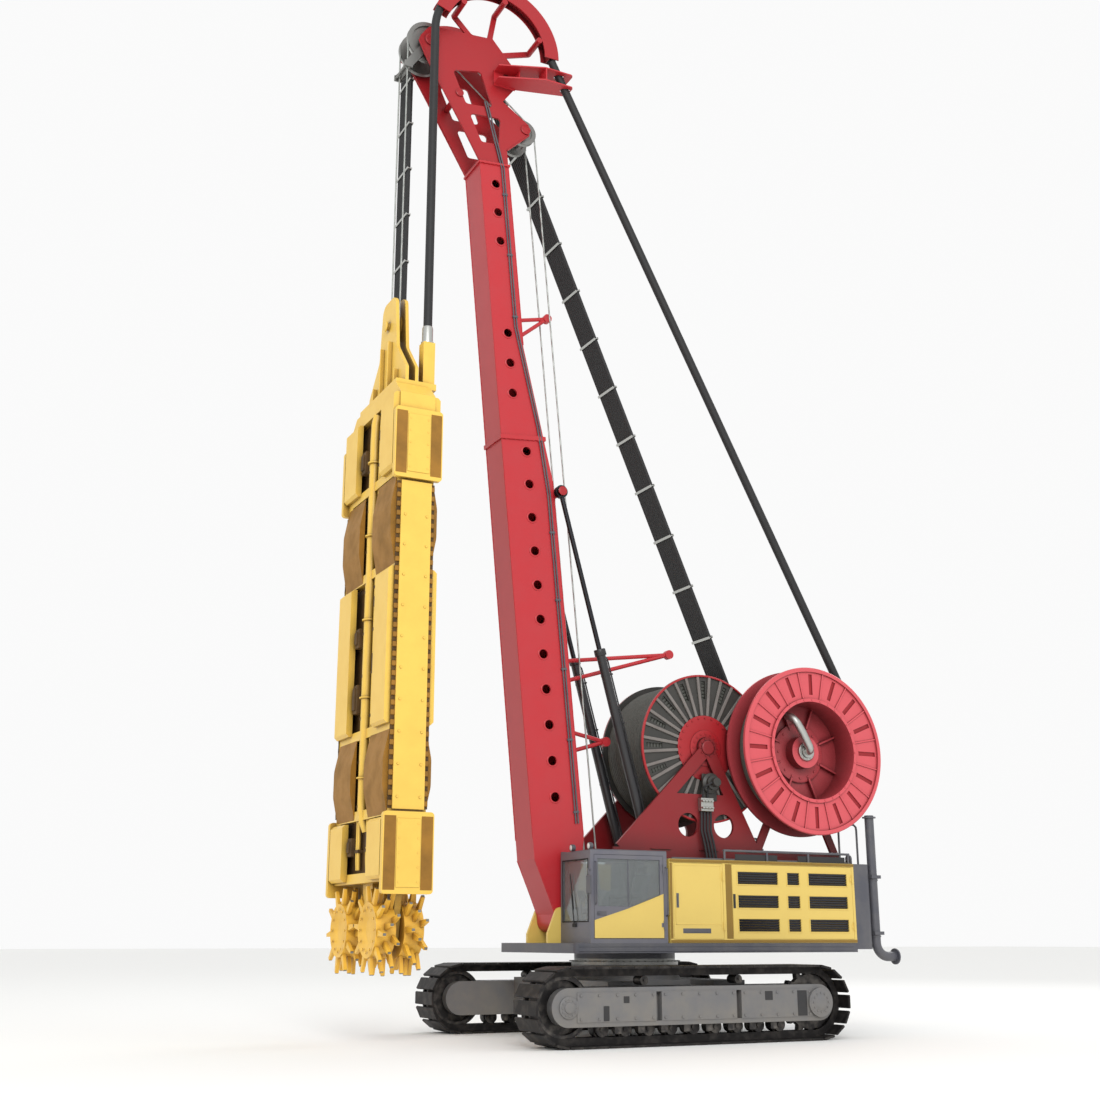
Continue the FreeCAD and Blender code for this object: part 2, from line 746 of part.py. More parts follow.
def make_doors(side, turn):
    face = half_deck - door_thick
    low_z, high_z = door_bottom + door_gap, door_top - door_gap
    service = mirrored((-service_rear + door_gap, face, low_z),
                       (-service_front - door_gap, half_deck, high_z), turn)
    moving = two_hinges(door_gap / 2 - service_rear, door_bottom, door_top, turn)[0]
    keep(f"service_door_{side}", fuse([service] + moving))
    panel = mirrored((-louvre_rear + door_gap, face, low_z),
                     (-louvre_front - door_gap, half_deck, high_z), turn)
    slots = []
    rest = louvre_rear - louvre_front - slot_wide * 2 - slot_narrow - slot_margin * 2
    starts = (louvre_front + slot_margin, louvre_front + slot_margin + slot_wide + rest / 2,
              louvre_rear - slot_margin - slot_wide)
    widths = (slot_wide, slot_narrow, slot_wide)
    first = (door_bottom + door_top) / 2 - slot_pitch - slot_height / 2
    for row in range(slot_rows):
        for start, wide in zip(starts, widths):
            height = first + slot_pitch * row
            slots.append(mirrored((-start - wide, face - door_thick, height),
                                  (-start, half_deck + door_thick, height + slot_height), turn))
    moving = two_hinges(door_gap / 2 - louvre_rear, door_bottom, door_top, turn)[0]
    keep(f"louvre_door_{side}", fuse([cut(panel, slots)] + moving))


make_house("left", 1, -house_front_left)
make_house("right", -1, house_front_right)
make_doors("left", 1)
make_doors("right", -1)

engine_length = dim("engine_length", 1900)
engine_width = dim("engine_width", 560)
engine_height = dim("engine_height", 1000)
engine_rear = dim("engine_rear", 3500)
engine_y = dim("engine_y", 1060)
keep("engine_block", block((-engine_rear, -engine_y - engine_width / 2, deck_top + house_wall),
                           (engine_length - engine_rear, engine_width / 2 - engine_y,
                            deck_top + house_wall + engine_height)))


# ---------------------------------------------------------------- boom foot bracket

bracket_plate = dim("bracket_plate", 60)
bracket_gap = dim("bracket_gap", 15)
bracket_rear = dim("bracket_rear", 620)
bracket_nose = dim("bracket_nose", 380)
bracket_lip = dim("bracket_lip", 150)
bracket_boss = dim("bracket_boss", 200)
foot_pin_radius = dim("foot_pin_radius", 75)

bracket_in = half_boom + bracket_gap
bracket_out = bracket_in + bracket_plate
pin_above = foot_height - deck_top
bracket = new_body()
cheek = polygon((-bracket_rear, 0), (bracket_nose, 0), (bracket_nose, bracket_lip),
                (bracket_boss, pin_above + bracket_boss, bracket_boss / 2),
                (-bracket_boss, pin_above + bracket_boss, bracket_boss / 2),
                (-bracket_rear, bracket_lip))
pad(bracket, sketch(bracket, "XZ_Plane", [cheek]), bracket_out * 2)
gap = polygon((-bracket_rear * 2, -bracket_lip), (bracket_rear * 2, -bracket_lip),
              (bracket_rear * 2, pin_above * 3), (-bracket_rear * 2, pin_above * 3))
pocket(bracket, sketch(bracket, "XZ_Plane", [gap]), bracket_in * 2)
place(bracket, (foot_x, 0, deck_top))
foot_pin = rod((foot_x, -bracket_out, foot_height), (foot_x, bracket_out, foot_height),
               foot_pin_radius)
keep("boom_foot_bracket", fuse([bracket, foot_pin]))


# ---------------------------------------------------------------- cab

cab_length = dim("cab_length", 1480)
cab_gap = dim("cab_gap", 5)
cab_top = dim("cab_top", 3060)
cab_wall = dim("cab_wall", 45)
cab_post = dim("cab_post", 70)
window_bottom = dim("window_bottom", 2150)
front_window_bottom = dim("front_window_bottom", 1900)
window_top = dim("window_top", 2920)
glass_thick = dim("glass_thick", 12)
roof_window = dim("roof_window", 520)

cab_inner = half_boom + bracket_gap + bracket_plate + cab_gap

cab_low = (0, cab_inner, deck_top)
cab_high = (cab_length, half_deck, cab_top)
cab_room = block((cab_wall, cab_inner + cab_wall, deck_top + cab_wall),
                 (cab_length - cab_wall, half_deck - cab_wall, cab_top - cab_wall))
door_hole_low = (cab_post, deck_top + cab_post)
door_hole_high = (cab_length - cab_post, cab_top - cab_post)
door_hole = block((door_hole_low[0], half_deck - cab_wall * 2, door_hole_low[1]),
                  (door_hole_high[0], half_deck + cab_wall, door_hole_high[1]))
middle_x = cab_length / 2
windows = [
    ("front", (cab_length - cab_wall * 2, cab_inner + cab_post, front_window_bottom),
     (cab_length + cab_wall, half_deck - cab_post, window_top), 0, cab_length - cab_wall / 2),
    ("rear", (-cab_wall, cab_inner + cab_post, window_bottom),
     (cab_wall * 2, half_deck - cab_post, window_top), 0, cab_wall / 2),
    ("right", (cab_post * 2, cab_inner - cab_wall, window_bottom),
     (cab_length - cab_post * 2, cab_inner + cab_wall * 2, window_top), 1,
     cab_inner + cab_wall / 2),
    ("roof", (middle_x, cab_inner + cab_post * 2, cab_top - cab_wall * 2),
     (middle_x + roof_window, half_deck - cab_post * 2, cab_top + cab_wall), 2,
     cab_top - cab_wall / 2),
]
holes = [block(low, high) for name, low, high, along, middle in windows]
moving, fixed = two_hinges(cab_post + door_gap / 2, door_hole_low[1], door_hole_high[1], 1)
keep("cab_shell", fuse([cut(block(cab_low, cab_high), [cab_room, door_hole] + holes)] + fixed))


def pane(low, high, along, middle):
    """A flat pane that fills a window opening, thin along one axis."""
    low, high = list(low), list(high)
    low[along] = middle - glass_thick / 2
    high[along] = middle + glass_thick / 2
    return block(tuple(low), tuple(high))


keep("cab_glass", group([pane(low, high, along, middle)
                         for name, low, high, along, middle in windows]))

door_low = (door_hole_low[0] + door_gap, half_deck - cab_wall, door_hole_low[1] + door_gap)
door_high = (door_hole_high[0] - door_gap, half_deck, door_hole_high[1] - door_gap)
pane_low = (cab_post * 2, half_deck - cab_wall * 2, window_bottom)
pane_high = (cab_length - cab_post * 2, half_deck + cab_wall, window_top)
keep("cab_door", fuse([cut(block(door_low, door_high), [block(pane_low, pane_high)])] + moving))
keep("cab_door_glass", pane(pane_low, pane_high, 1, half_deck - cab_wall / 2))

seat_x = dim("seat_x", 520)
seat_height = dim("seat_height", 480)
seat_half = dim("seat_half", 250)
cushion_depth = dim("cushion_depth", 120)
back_height = dim("back_height", 620)
floor = deck_top + cab_wall
seat = new_body()
profile = polygon((-seat_half / 2, 0), (seat_half / 2, 0),
                  (seat_half / 2, seat_height - cushion_depth),
                  (seat_half, seat_height - cushion_depth), (seat_half, seat_height),
                  (cushion_depth - seat_half, seat_height),
                  (-seat_half, seat_height + back_height),
                  (-seat_half - cushion_depth, seat_height + back_height),
                  (-seat_half, seat_height - cushion_depth),
                  (-seat_half / 2, seat_height - cushion_depth))
pad(seat, sketch(seat, "XZ_Plane", [profile]), seat_half * 2)
keep("cab_seat", place(seat, (seat_x, (cab_inner + half_deck) / 2, floor)))


# ---------------------------------------------------------------- boom

# The boom's own frame starts at its foot pin: x is forward, square to the boom, and z runs up it.
boom_front = dim("boom_front", 500)
lower_rear = dim("lower_rear", 490)
upper_rear = dim("upper_rear", 110)
boom_wall = dim("boom_wall", 25)
foot_radius = dim("foot_radius", 205)
foot_taper_front = dim("foot_taper_front", 1050)
foot_taper_rear = dim("foot_taper_rear", 1350)
taper_start = dim("taper_start", 7900)
taper_end = dim("taper_end", 10500)
joint_height = dim("joint_height", 8690)
boom_top = dim("boom_top", 14300)
flange_thick = dim("flange_thick", 40)
flange_reach = dim("flange_reach", 30)
hole_radius = dim("hole_radius", 85)
lower_hole_pitch = dim("lower_hole_pitch", 635)
lower_hole_start = dim("lower_hole_start", 2080)
upper_hole_pitch = dim("upper_hole_pitch", 600)
upper_hole_start = dim("upper_hole_start", 9560)
upper_hole_again = dim("upper_hole_again", 12650)
lower_holes = 11
luff_top_x = dim("luff_top_x", 557)
luff_top_z = dim("luff_top_z", 7631)
luff_y = dim("luff_y", 500)
eye_radius = dim("eye_radius", 110)
eye_half = dim("eye_half", 50)

cosine = Size(math.cos(math.radians(boom_lean.value)), "cos(Sizes.boom_lean)")
sine = Size(math.sin(math.radians(boom_lean.value)), "sin(Sizes.boom_lean)")


def from_boom(x, y, z):
    """The place on the machine of a point given in the boom's own frame."""
    return (foot_x + x * cosine + z * sine, y, foot_height - x * sine + z * cosine)


def on_boom(item, x=0, y=0, z=0, tilt=0):
    """Sets a piece down in the boom's frame, tilted further about Y."""
    lean = boom_lean + tilt
    place(item, from_boom(x, y, z), Rotation(Vector(0, 1, 0), lean.value))
    bind(item, "Placement.Rotation.Angle", lean)
    return item


joint_share = (joint_height - taper_start) / (taper_end - taper_start).value
joint_rear = lower_rear - (lower_rear - upper_rear) * joint_share


def row_of_holes(owner, x, start, pitch, count):
    drawing = sketch(owner, "XZ_Plane", [circle(x, start, hole_radius)])
    hole = pocket(owner, drawing, boom_width + flange_reach)
    if count > 1:
        repeat_along(owner, [hole], "Z_Axis", pitch * (count - 1), count)


def flange(owner, rear, low):
    """A frame round the end of a section, where the next one is bolted on."""
    ring = polygon((-rear - flange_reach, low), (boom_front + flange_reach, low),
                   (boom_front + flange_reach, low + flange_thick),
                   (-rear - flange_reach, low + flange_thick))
    pad(owner, sketch(owner, "XZ_Plane", [ring]), boom_width + flange_reach * 2)


lower = new_body()
pad(lower, sketch(lower, "XZ_Plane", [polygon(
    (-foot_radius, -foot_radius, foot_radius * 0.9), (foot_radius, -foot_radius, foot_radius * 0.9),
    (foot_radius, foot_radius / 2), (boom_front, foot_taper_front), (boom_front, joint_height),
    (-joint_rear, joint_height), (-lower_rear, taper_start), (-lower_rear, foot_taper_rear),
    (-foot_radius, foot_radius / 2))]), boom_width)
flange(lower, joint_rear, joint_height - flange_thick)
room = polygon((boom_front - boom_wall, foot_taper_front), (boom_front - boom_wall,
               joint_height - flange_thick), (boom_wall - joint_rear, joint_height - flange_thick),
               (boom_wall - lower_rear, taper_start), (boom_wall - lower_rear, foot_taper_rear),
               (-foot_radius, foot_radius * 2), (foot_radius, foot_radius * 2))
pocket(lower, sketch(lower, "XZ_Plane", [room]), boom_width - boom_wall * 2)
row_of_holes(lower, (boom_front - lower_rear) / 2, lower_hole_start, lower_hole_pitch, lower_holes)
bore = sketch(lower, "XZ_Plane", [circle(0, 0, foot_pin_radius + pin_gap)])
lower.Tip = pocket(lower, bore, boom_width * 2)
# A cross tube on a saddle behind the boom takes the eyes of both luffing cylinders.
saddle_half = dim("saddle_half", 260)
saddle = block((-luff_top_x, -saddle_half, luff_top_z - eye_radius),
               (-lower_rear, saddle_half, luff_top_z + eye_radius))
cross_tube = rod((-luff_top_x, -luff_y - eye_half * 1.6, luff_top_z),
                 (-luff_top_x, luff_y + eye_half * 1.6, luff_top_z), luff_pin_radius)
keep("boom_lower", on_boom(fuse([lower, saddle, cross_tube])))

upper = new_body()
pad(upper, sketch(upper, "XZ_Plane", [polygon(
    (-joint_rear, joint_height), (boom_front, joint_height), (boom_front, boom_top),
    (-upper_rear, boom_top), (-upper_rear, taper_end))]), boom_width)
flange(upper, joint_rear, joint_height)
flange(upper, upper_rear, boom_top - flange_thick)
room = polygon((boom_wall - joint_rear, joint_height + flange_thick),
               (boom_front - boom_wall, joint_height + flange_thick),
               (boom_front - boom_wall, boom_top - flange_thick),
               (boom_wall - upper_rear, boom_top - flange_thick),
               (boom_wall - upper_rear, taper_end))
pocket(upper, sketch(upper, "XZ_Plane", [room]), boom_width - boom_wall * 2)
for start in (upper_hole_start, upper_hole_again):
    row_of_holes(upper, (boom_front - upper_rear) / 2, start, upper_hole_pitch, 3)
keep("boom_upper", on_boom(upper))


# ---------------------------------------------------------------- boom head and its sheaves

cheek_thick = dim("cheek_thick", 40)
sheave_x = dim("sheave_x", 1353)
sheave_z = dim("sheave_z", 16746)
sheave_rim = dim("sheave_rim", 440)
sheave_groove = dim("sheave_groove", 400)
sheave_width = dim("sheave_width", 90)
sheave_y = dim("sheave_y", 216)
sheave_web = dim("sheave_web", 24)
groove_half = dim("groove_half", 20)
sleeve_radius = dim("sleeve_radius", 115)
sheave_pin = dim("sheave_pin", 70)
rear_sheave_x = dim("rear_sheave_x", 560)
rear_sheave_z = dim("rear_sheave_z", 15150)
rear_rim = dim("rear_rim", 270)
rear_groove = dim("rear_groove", 235)
head_front_knee = dim("head_front_knee", 820)
head_knee_height = dim("head_knee_height", 700)
head_boss = dim("head_boss", 260)
head_back = dim("head_back", 420)
head_top = dim("head_top", 17060)
head_cross = dim("head_cross", 60)

head = new_body()
cheek = polygon((-upper_rear, boom_top), (boom_front, boom_top),
                (head_front_knee, boom_top + head_knee_height),
                (sheave_x + head_boss * 0.6, sheave_z - head_boss * 1.2),
                (sheave_x + head_boss, sheave_z, head_boss * 0.8),
                (sheave_x, head_top, head_boss * 0.8),
                (0, head_top), (-head_back, sheave_z - head_boss), (-head_back, rear_sheave_z + 900),
                (-upper_rear, rear_sheave_z + rear_rim * 2),
                (-rear_sheave_x - cheek_thick * 2, rear_sheave_z + cheek_thick * 3, cheek_thick),
                (-rear_sheave_x - cheek_thick * 2, rear_sheave_z - cheek_thick * 3, cheek_thick),
                (-upper_rear, rear_sheave_z - rear_rim * 2))
pad(head, sketch(head, "XZ_Plane", [cheek]), boom_width)
between = polygon((-boom_front * 4, boom_top + cheek_thick), (boom_front * 6, boom_top + cheek_thick),
                  (boom_front * 6, head_top * 2), (-boom_front * 4, head_top * 2))
pocket(head, sketch(head, "XZ_Plane", [between]), boom_width - cheek_thick * 2)
window_round = dim("window_round", 70)
low_window = polygon((60, boom_top + 420, window_round), (430, boom_top + 420, window_round),
                     (640, boom_top + 1000, window_round), (-30, boom_top + 1000, window_round))
high_window = polygon((120, boom_top + 1200, window_round), (700, boom_top + 1200, window_round),
                      (930, sheave_z - 560, window_round), (330, sheave_z - 480, window_round))
head.Tip = pocket(head, sketch(head, "XZ_Plane", [low_window, high_window]), boom_width * 2)


def across(x, z, half, radius):
    """A round cross member of the head, square to the boom."""
    return rod((x, -half, z), (x, half, z), radius)


arc_gap = dim("arc_gap", 65)
arc_x = dim("arc_x", 174)
arc_z = dim("arc_z", 16637)
arc_inner = dim("arc_inner", 1050)
arc_outer = dim("arc_outer", 1350)
arc_sheet = dim("arc_sheet", 20)
slurry_room = dim("slurry_room", 10)
feed_room = dim("feed_room", 15)
arc_start = dim("arc_start", 25)
arc_sweep = dim("arc_sweep", 160)
guide_radius = dim("guide_radius", 1250)
slurry_radius = dim("slurry_radius", 80)
feed_half = dim("feed_half", 300)
feed_radius = dim("feed_radius", 50)
feed_arc_radius = dim("feed_arc_radius", 950)
spoke_deep = dim("spoke_deep", 110)

arc_half_near = slurry_radius + slurry_room + arc_sheet
arc_half_far = feed_half + feed_room + arc_sheet
arc_y = half_boom + arc_gap + arc_half_far
members = [head, across(sheave_x, sheave_z, half_boom, sheave_pin),
           across(-rear_sheave_x, rear_sheave_z, half_boom, sheave_pin),
           across(head_front_knee, boom_top + head_knee_height * 2, half_boom, head_cross),
           across(-head_back / 2, sheave_z - head_boss * 2, half_boom, head_cross)]
# Both arcs end over the cutter at one place; the feed hoses' arc on the right is the tighter one.
arc_step = guide_radius - feed_arc_radius
far_arc_x = arc_x + arc_step * cosine
far_arc_z = arc_z + arc_step * sine
spoke_y = half_boom - cheek_thick / 2
arcs = ((1, arc_x, arc_z, arc_inner, arc_half_near),
        (-1, far_arc_x, far_arc_z, arc_inner - arc_step, arc_half_far))
for turn, middle_x, middle_z, inner, half in arcs:
    reach = inner - head_cross
    for angle in (50, 105, 165):
        aim = math.radians(angle)
        tip_x = middle_x + reach * math.cos(aim)
        tip_z = middle_z + reach * math.sin(aim)
        members.append(bar((middle_x, spoke_y * turn, middle_z), (tip_x, spoke_y * turn, tip_z),
                           spoke_deep, cheek_thick))
        members.append(rod((tip_x, spoke_y * turn, tip_z), (tip_x, (arc_y + half) * turn, tip_z),
                           head_cross))
keep("boom_head", on_boom(fuse(members)))


def arc_channel(half_width, bed, step):
    """A curved tray, open on its outer side, swept about the arc's centre."""
    tray = new_body()
    inside = half_width - arc_sheet
    inner, outer = arc_inner - step, arc_outer - step
    section = polygon((inner, -half_width), (outer, -half_width), (outer, -inside),
                      (bed, -inside), (bed, inside), (outer, inside), (outer, half_width),
                      (inner, half_width), (inner, inside),
                      (bed - arc_sheet, inside), (bed - arc_sheet, -inside), (inner, -inside))
    sweep = revolve(tray, sketch(tray, "XY_Plane", [section]), "Y_Axis", arc_sweep)
    sweep.Reversed = True
    return tray


def hose_over(outline, start, sweep):
    hose = new_body()
    turned = revolve(hose, sketch(hose, "XY_Plane", [outline]), "Y_Axis", sweep)
    turned.Reversed = True
    return hose


near_bed = guide_radius - slurry_radius - running_gap
far_bed = feed_arc_radius - feed_radius - running_gap
near_tray = on_boom(arc_channel(arc_half_near, near_bed, 0), arc_x, arc_y, arc_z, -arc_start)
far_tray = on_boom(arc_channel(arc_half_far, far_bed, arc_step), far_arc_x, -arc_y, far_arc_z,
                   -arc_start)
keep("hose_arcs", group([near_tray, far_tray]))
level = boom_lean
near_hose = hose_over(circle(guide_radius, 0, slurry_radius), level, 180)
band_in, band_out = feed_arc_radius - feed_radius, feed_arc_radius + feed_radius
band = polygon((band_in, -feed_half), (band_out, -feed_half), (band_out, feed_half),
               (band_in, feed_half))
far_hose = hose_over(band, level, 180)
keep("guide_hoses", group([on_boom(near_hose, arc_x, arc_y, arc_z, -level),
                           on_boom(far_hose, far_arc_x, -arc_y, far_arc_z, -level)]))


def sheave_set(rim, groove, pin):
    """Two grooved sheaves on one sleeve."""
    outer = sheave_y + sheave_width / 2
    inner = sheave_y - sheave_width / 2
    wall = half_boom - cheek_thick - running_gap
    pulley = new_body()
    corners = [(-wall, pin), (-wall, sleeve_radius)]
    for turn in (-1, 1):
        near, far = (outer, inner) if turn < 0 else (inner, outer)
        shoulder = groove - sheave_width / 2
        corners += [(turn * sheave_y - sheave_web / 2, sleeve_radius),
                    (turn * sheave_y - sheave_web / 2, shoulder),
                    (turn * near, shoulder), (turn * near, rim),
                    (turn * sheave_y - groove_half, groove),
                    (turn * sheave_y + groove_half, groove),
                    (turn * far, rim), (turn * far, shoulder),
                    (turn * sheave_y + sheave_web / 2, shoulder),
                    (turn * sheave_y + sheave_web / 2, sleeve_radius)]
    corners += [(wall, sleeve_radius), (wall, pin)]
    revolve(pulley, sketch(pulley, "YZ_Plane", [polygon(*corners)]), "Y_Axis")
    return pulley


keep("hoist_sheaves", on_boom(sheave_set(sheave_rim, sheave_groove, sheave_pin + pin_gap),
                              sheave_x, 0, sheave_z))
keep("rear_sheaves", on_boom(sheave_set(rear_rim, rear_groove, sheave_pin + pin_gap),
                             -rear_sheave_x, 0, rear_sheave_z))


# ---------------------------------------------------------------- luffing cylinders

barrel_radius = dim("barrel_radius", 85)
barrel_bore = dim("barrel_bore", 60)
barrel_length = dim("barrel_length", 4300)
gland = dim("gland", 80)
rod_radius = dim("rod_radius", 45)
rod_start = dim("rod_start", 3600)
rod_eye_bore = dim("rod_eye_bore", 75)
rod_eye_radius = dim("rod_eye_radius", 120)

luff_base = (-luff_pin_x, 0, luff_pin_z)
luff_tip = from_boom(-luff_top_x, 0, luff_top_z)
luff_length = distance(luff_base, luff_tip)
luff_lean = math.degrees(math.atan2(number(luff_tip[0] - luff_base[0]),
                                    number(luff_tip[2] - luff_base[2])))
luff_turn = Rotation(Vector(0, 1, 0), luff_lean)


def turned_about_z(*corners):
    shaft = new_body()
    revolve(shaft, sketch(shaft, "XZ_Plane", [polygon(*corners)]), "Z_Axis")
    return shaft


def make_barrel(turn):
    tube = turned_about_z((0, eye_radius / 2), (barrel_radius, eye_radius / 2),
                          (barrel_radius, barrel_length), (rod_radius + pin_gap, barrel_length),
                          (rod_radius + pin_gap, barrel_length - gland),
                          (barrel_bore, barrel_length - gland), (barrel_bore, eye_radius * 2),
                          (0, eye_radius * 2))
    eye = rod((0, -eye_half, 0), (0, eye_half, 0), eye_radius)
    bore = rod((0, -eye_radius, 0), (0, eye_radius, 0), luff_pin_radius + pin_gap)
    return place(cut(fuse([tube, eye]), [bore]), (-luff_pin_x, luff_y * turn, luff_pin_z),
                 luff_turn)


def make_rod(turn):
    shaft = turned_about_z((0, rod_start), (rod_radius, rod_start), (rod_radius, luff_length),
                           (0, luff_length))
    eye = rod((0, -eye_half, luff_length), (0, eye_half, luff_length), rod_eye_radius)
    bore = rod((0, -eye_radius, luff_length), (0, eye_radius, luff_length), rod_eye_bore)
    return place(cut(fuse([shaft, eye]), [bore]), (-luff_pin_x, luff_y * turn, luff_pin_z),
                 luff_turn)


keep("luff_barrels", group([make_barrel(1), make_barrel(-1)]))
keep("luff_rods", group([make_rod(1), make_rod(-1)]))


# ---------------------------------------------------------------- winch in the bay

winch_x = dim("winch_x", 300)
winch_z = dim("winch_z", 2150)
winch_rim = dim("winch_rim", 330)
winch_core = dim("winch_core", 270)
winch_half = dim("winch_half", 300)
winch_flange = dim("winch_flange", 25)
winch_cheek = dim("winch_cheek", 40)
winch_pin = dim("winch_pin", 60)
winch_foot = dim("winch_foot", 330)

winch_in = winch_half + running_gap * 20
side = new_body()
plate = polygon((-winch_foot, 0), (winch_foot, 0), (winch_foot, sill),
                (winch_pin * 2, winch_z - deck_top + winch_pin * 2, winch_pin),
                (-winch_pin * 2, winch_z - deck_top + winch_pin * 2, winch_pin),
                (-winch_foot, sill))
pad(side, sketch(side, "XZ_Plane", [plate]), (winch_in + winch_cheek) * 2)
room = polygon((-winch_foot * 2, winch_cheek), (winch_foot * 2, winch_cheek),
               (winch_foot * 2, winch_z), (-winch_foot * 2, winch_z))
pocket(side, sketch(side, "XZ_Plane", [room]), winch_in * 2)
place(side, (winch_x, 0, deck_top))
keep("winch_frame", fuse([side, rod((winch_x, -winch_in, winch_z), (winch_x, winch_in, winch_z),
                                    winch_pin)]))
bore_radius = winch_pin + pin_gap
drum = wheel_about_y([(-winch_half, bore_radius), (-winch_half, winch_rim),
                      (winch_flange - winch_half, winch_rim),
                      (winch_flange - winch_half, winch_core),
                      (winch_half - winch_flange, winch_core),
                      (winch_half - winch_flange, winch_rim), (winch_half, winch_rim),
                      (winch_half, bore_radius)])
keep("winch_drum", place(drum, (winch_x, 0, winch_z)))


# ---------------------------------------------------------------- hose reels and their stand

reel_z = dim("reel_z", 5000)
front_reel_x = dim("front_reel_x", 1350)
front_reel_radius = dim("front_reel_radius", 1360)
front_reel_half = dim("front_reel_half", 720)
rear_reel_x = dim("rear_reel_x", 3300)
rear_reel_radius = dim("rear_reel_radius", 1550)
rear_reel_in = dim("rear_reel_in", 850)
rear_reel_out = dim("rear_reel_out", 1400)
reel_flange = dim("reel_flange", 30)
front_core = dim("front_core", 750)
rear_core = dim("rear_core", 930)
core_wall = dim("core_wall", 25)
reel_hub = dim("reel_hub", 300)
reel_slots = 16
slot_inner_share = dim("slot_inner_share", 0.67)
slot_outer_share = dim("slot_outer_share", 0.92)
reel_slot_width = dim("reel_slot_width", 80)
stand_in = dim("stand_in", 755)
stand_plate = dim("stand_plate", 60)
stand_rear = dim("stand_rear", 4200)
stand_step = dim("stand_step", 60)
stand_nose = dim("stand_nose", 650)
stand_beam = dim("stand_beam", 200)
nose_beam = dim("nose_beam", 100)
nose_gap = dim("nose_gap", 12)
stand_leg = dim("stand_leg", 150)
broad_leg = dim("broad_leg", 230)
web_foot_front = dim("web_foot_front", 350)
web_foot_rear = dim("web_foot_rear", 2200)
web_head_front = dim("web_head_front", 450)
web_head_rear = dim("web_head_rear", 1770)
web_head = dim("web_head", 4150)
web_hole = dim("web_hole", 210)
stand_boss = dim("stand_boss", 190)
stand_foot = dim("stand_foot", 950)
reel_pin = dim("reel_pin", 90)
cross_deep = dim("cross_deep", 140)
leg_sink = dim("leg_sink", 5)

stand_mid = stand_in + stand_plate / 2
stand_out = stand_in + stand_plate
beam_top = house_top + stand_beam


def stand_side(turn, wheels):
    """One upright frame of the stand: a stepped base beam and a pair of legs to each reel."""
    y = stand_mid * turn
    parts = [mirrored((-stand_rear, stand_in, house_top), (-stand_step, stand_out, beam_top), turn),
             mirrored((-stand_step - stand_leg, stand_in, cab_top + nose_gap),
                      (stand_nose, stand_out, cab_top + nose_gap + nose_beam), turn)]
    for axle, front_foot, rear_foot, leg in wheels:
        hub = (-axle, y, reel_z)
        parts.append(rod((-axle, stand_in * turn, reel_z), (-axle, stand_out * turn, reel_z),
                         stand_boss))
        for foot in (front_foot, rear_foot):
            parts.append(bar((foot, y, beam_top - leg_sink), hub, leg, stand_plate))
    return parts


front_wheel = (front_reel_x, stand_nose - stand_leg, -front_reel_x - stand_foot, broad_leg)
rear_wheel = (rear_reel_x, stand_foot - rear_reel_x, stand_leg / 2 - stand_rear, stand_leg)
stand = stand_side(1, [front_wheel, rear_wheel]) + stand_side(-1, [front_wheel])
# Webs with two round holes fill the foot of both frames under the front reel.
hole_z = (beam_top + web_head) / 2 - web_hole / 4
for turn in (1, -1):
    web = new_body()
    outline = polygon((-web_foot_rear, beam_top - leg_sink), (web_foot_front, beam_top - leg_sink),
                      (-web_head_front, web_head), (-web_head_rear, web_head))
    pad(web, sketch(web, "XZ_Plane", [outline]), stand_plate)
    rounds = [circle(-front_reel_x - web_hole * 1.4, hole_z, web_hole),
              circle(-front_reel_x + web_hole * 2.2, hole_z, web_hole)]
    pocket(web, sketch(web, "XZ_Plane", rounds), stand_plate * 2)
    stand.append(place(web, (0, stand_mid * turn, 0)))
for start in (front_reel_x - stand_foot * 0.68, front_reel_x + stand_foot,
              stand_rear - cross_deep):
    stand.append(block((-start - cross_deep, -stand_in, house_top),
                       (-start, stand_in, house_top + cross_deep)))
for turn in (1, -1):
    stand.append(rod((-front_reel_x, stand_in * turn, reel_z),
                     (-front_reel_x, (front_reel_half - reel_hub) * turn, reel_z), reel_pin))
stand.append(rod((-rear_reel_x, stand_out, reel_z),
                 (-rear_reel_x, rear_reel_in + reel_hub, reel_z), reel_pin))
keep("reel_stand", fuse(stand))


def slotted_flange(owner, radius, y, slots, share=1.0):
    """A round plate with radial slots, its middle plane at a distance along Y."""
    plate = pad(owner, sketch(owner, "XZ_Plane", [circle(0, 0, radius)], -y), reel_flange)
    half = reel_slot_width / 2
    slot = polygon((-half, radius * slot_inner_share), (half, radius * slot_inner_share),
                   (half, radius * slot_outer_share), (-half, radius * slot_outer_share))
    hole = pocket(owner, sketch(owner, "XZ_Plane", [slot], -y), reel_flange * 3)
    repeat_around(owner, [hole], own_axis(owner, "Y_Axis"), 360, slots)
    return plate


def make_front_reel():
    """Two slotted flanges on a hollow core, with a web and a hub at each end."""
    reel = new_body()
    flange_y = front_reel_half - reel_flange / 2
    slotted_flange(reel, front_reel_radius, flange_y, reel_slots)
    slotted_flange(reel, front_reel_radius, -flange_y, reel_slots)
    core = [circle(0, 0, front_core), circle(0, 0, front_core - core_wall)]
    pad(reel, sketch(reel, "XZ_Plane", core), flange_y * 2)
    for turn in (1, -1):
        inner = (front_reel_half - reel_hub + running_gap) * turn
        hub = [circle(0, 0, reel_hub)]
        drawing = sketch(reel, "XZ_Plane", hub, -inner)
        solid = pad(reel, drawing, reel_hub + running_gap * 10, "One side")
        solid.Reversed = turn > 0
        pocket(reel, sketch(reel, "XZ_Plane", [circle(0, 0, reel_pin + pin_gap)], -inner),
               reel_hub * 3)
    return reel


keep("front_reel", place(make_front_reel(), (-front_reel_x, 0, reel_z)))


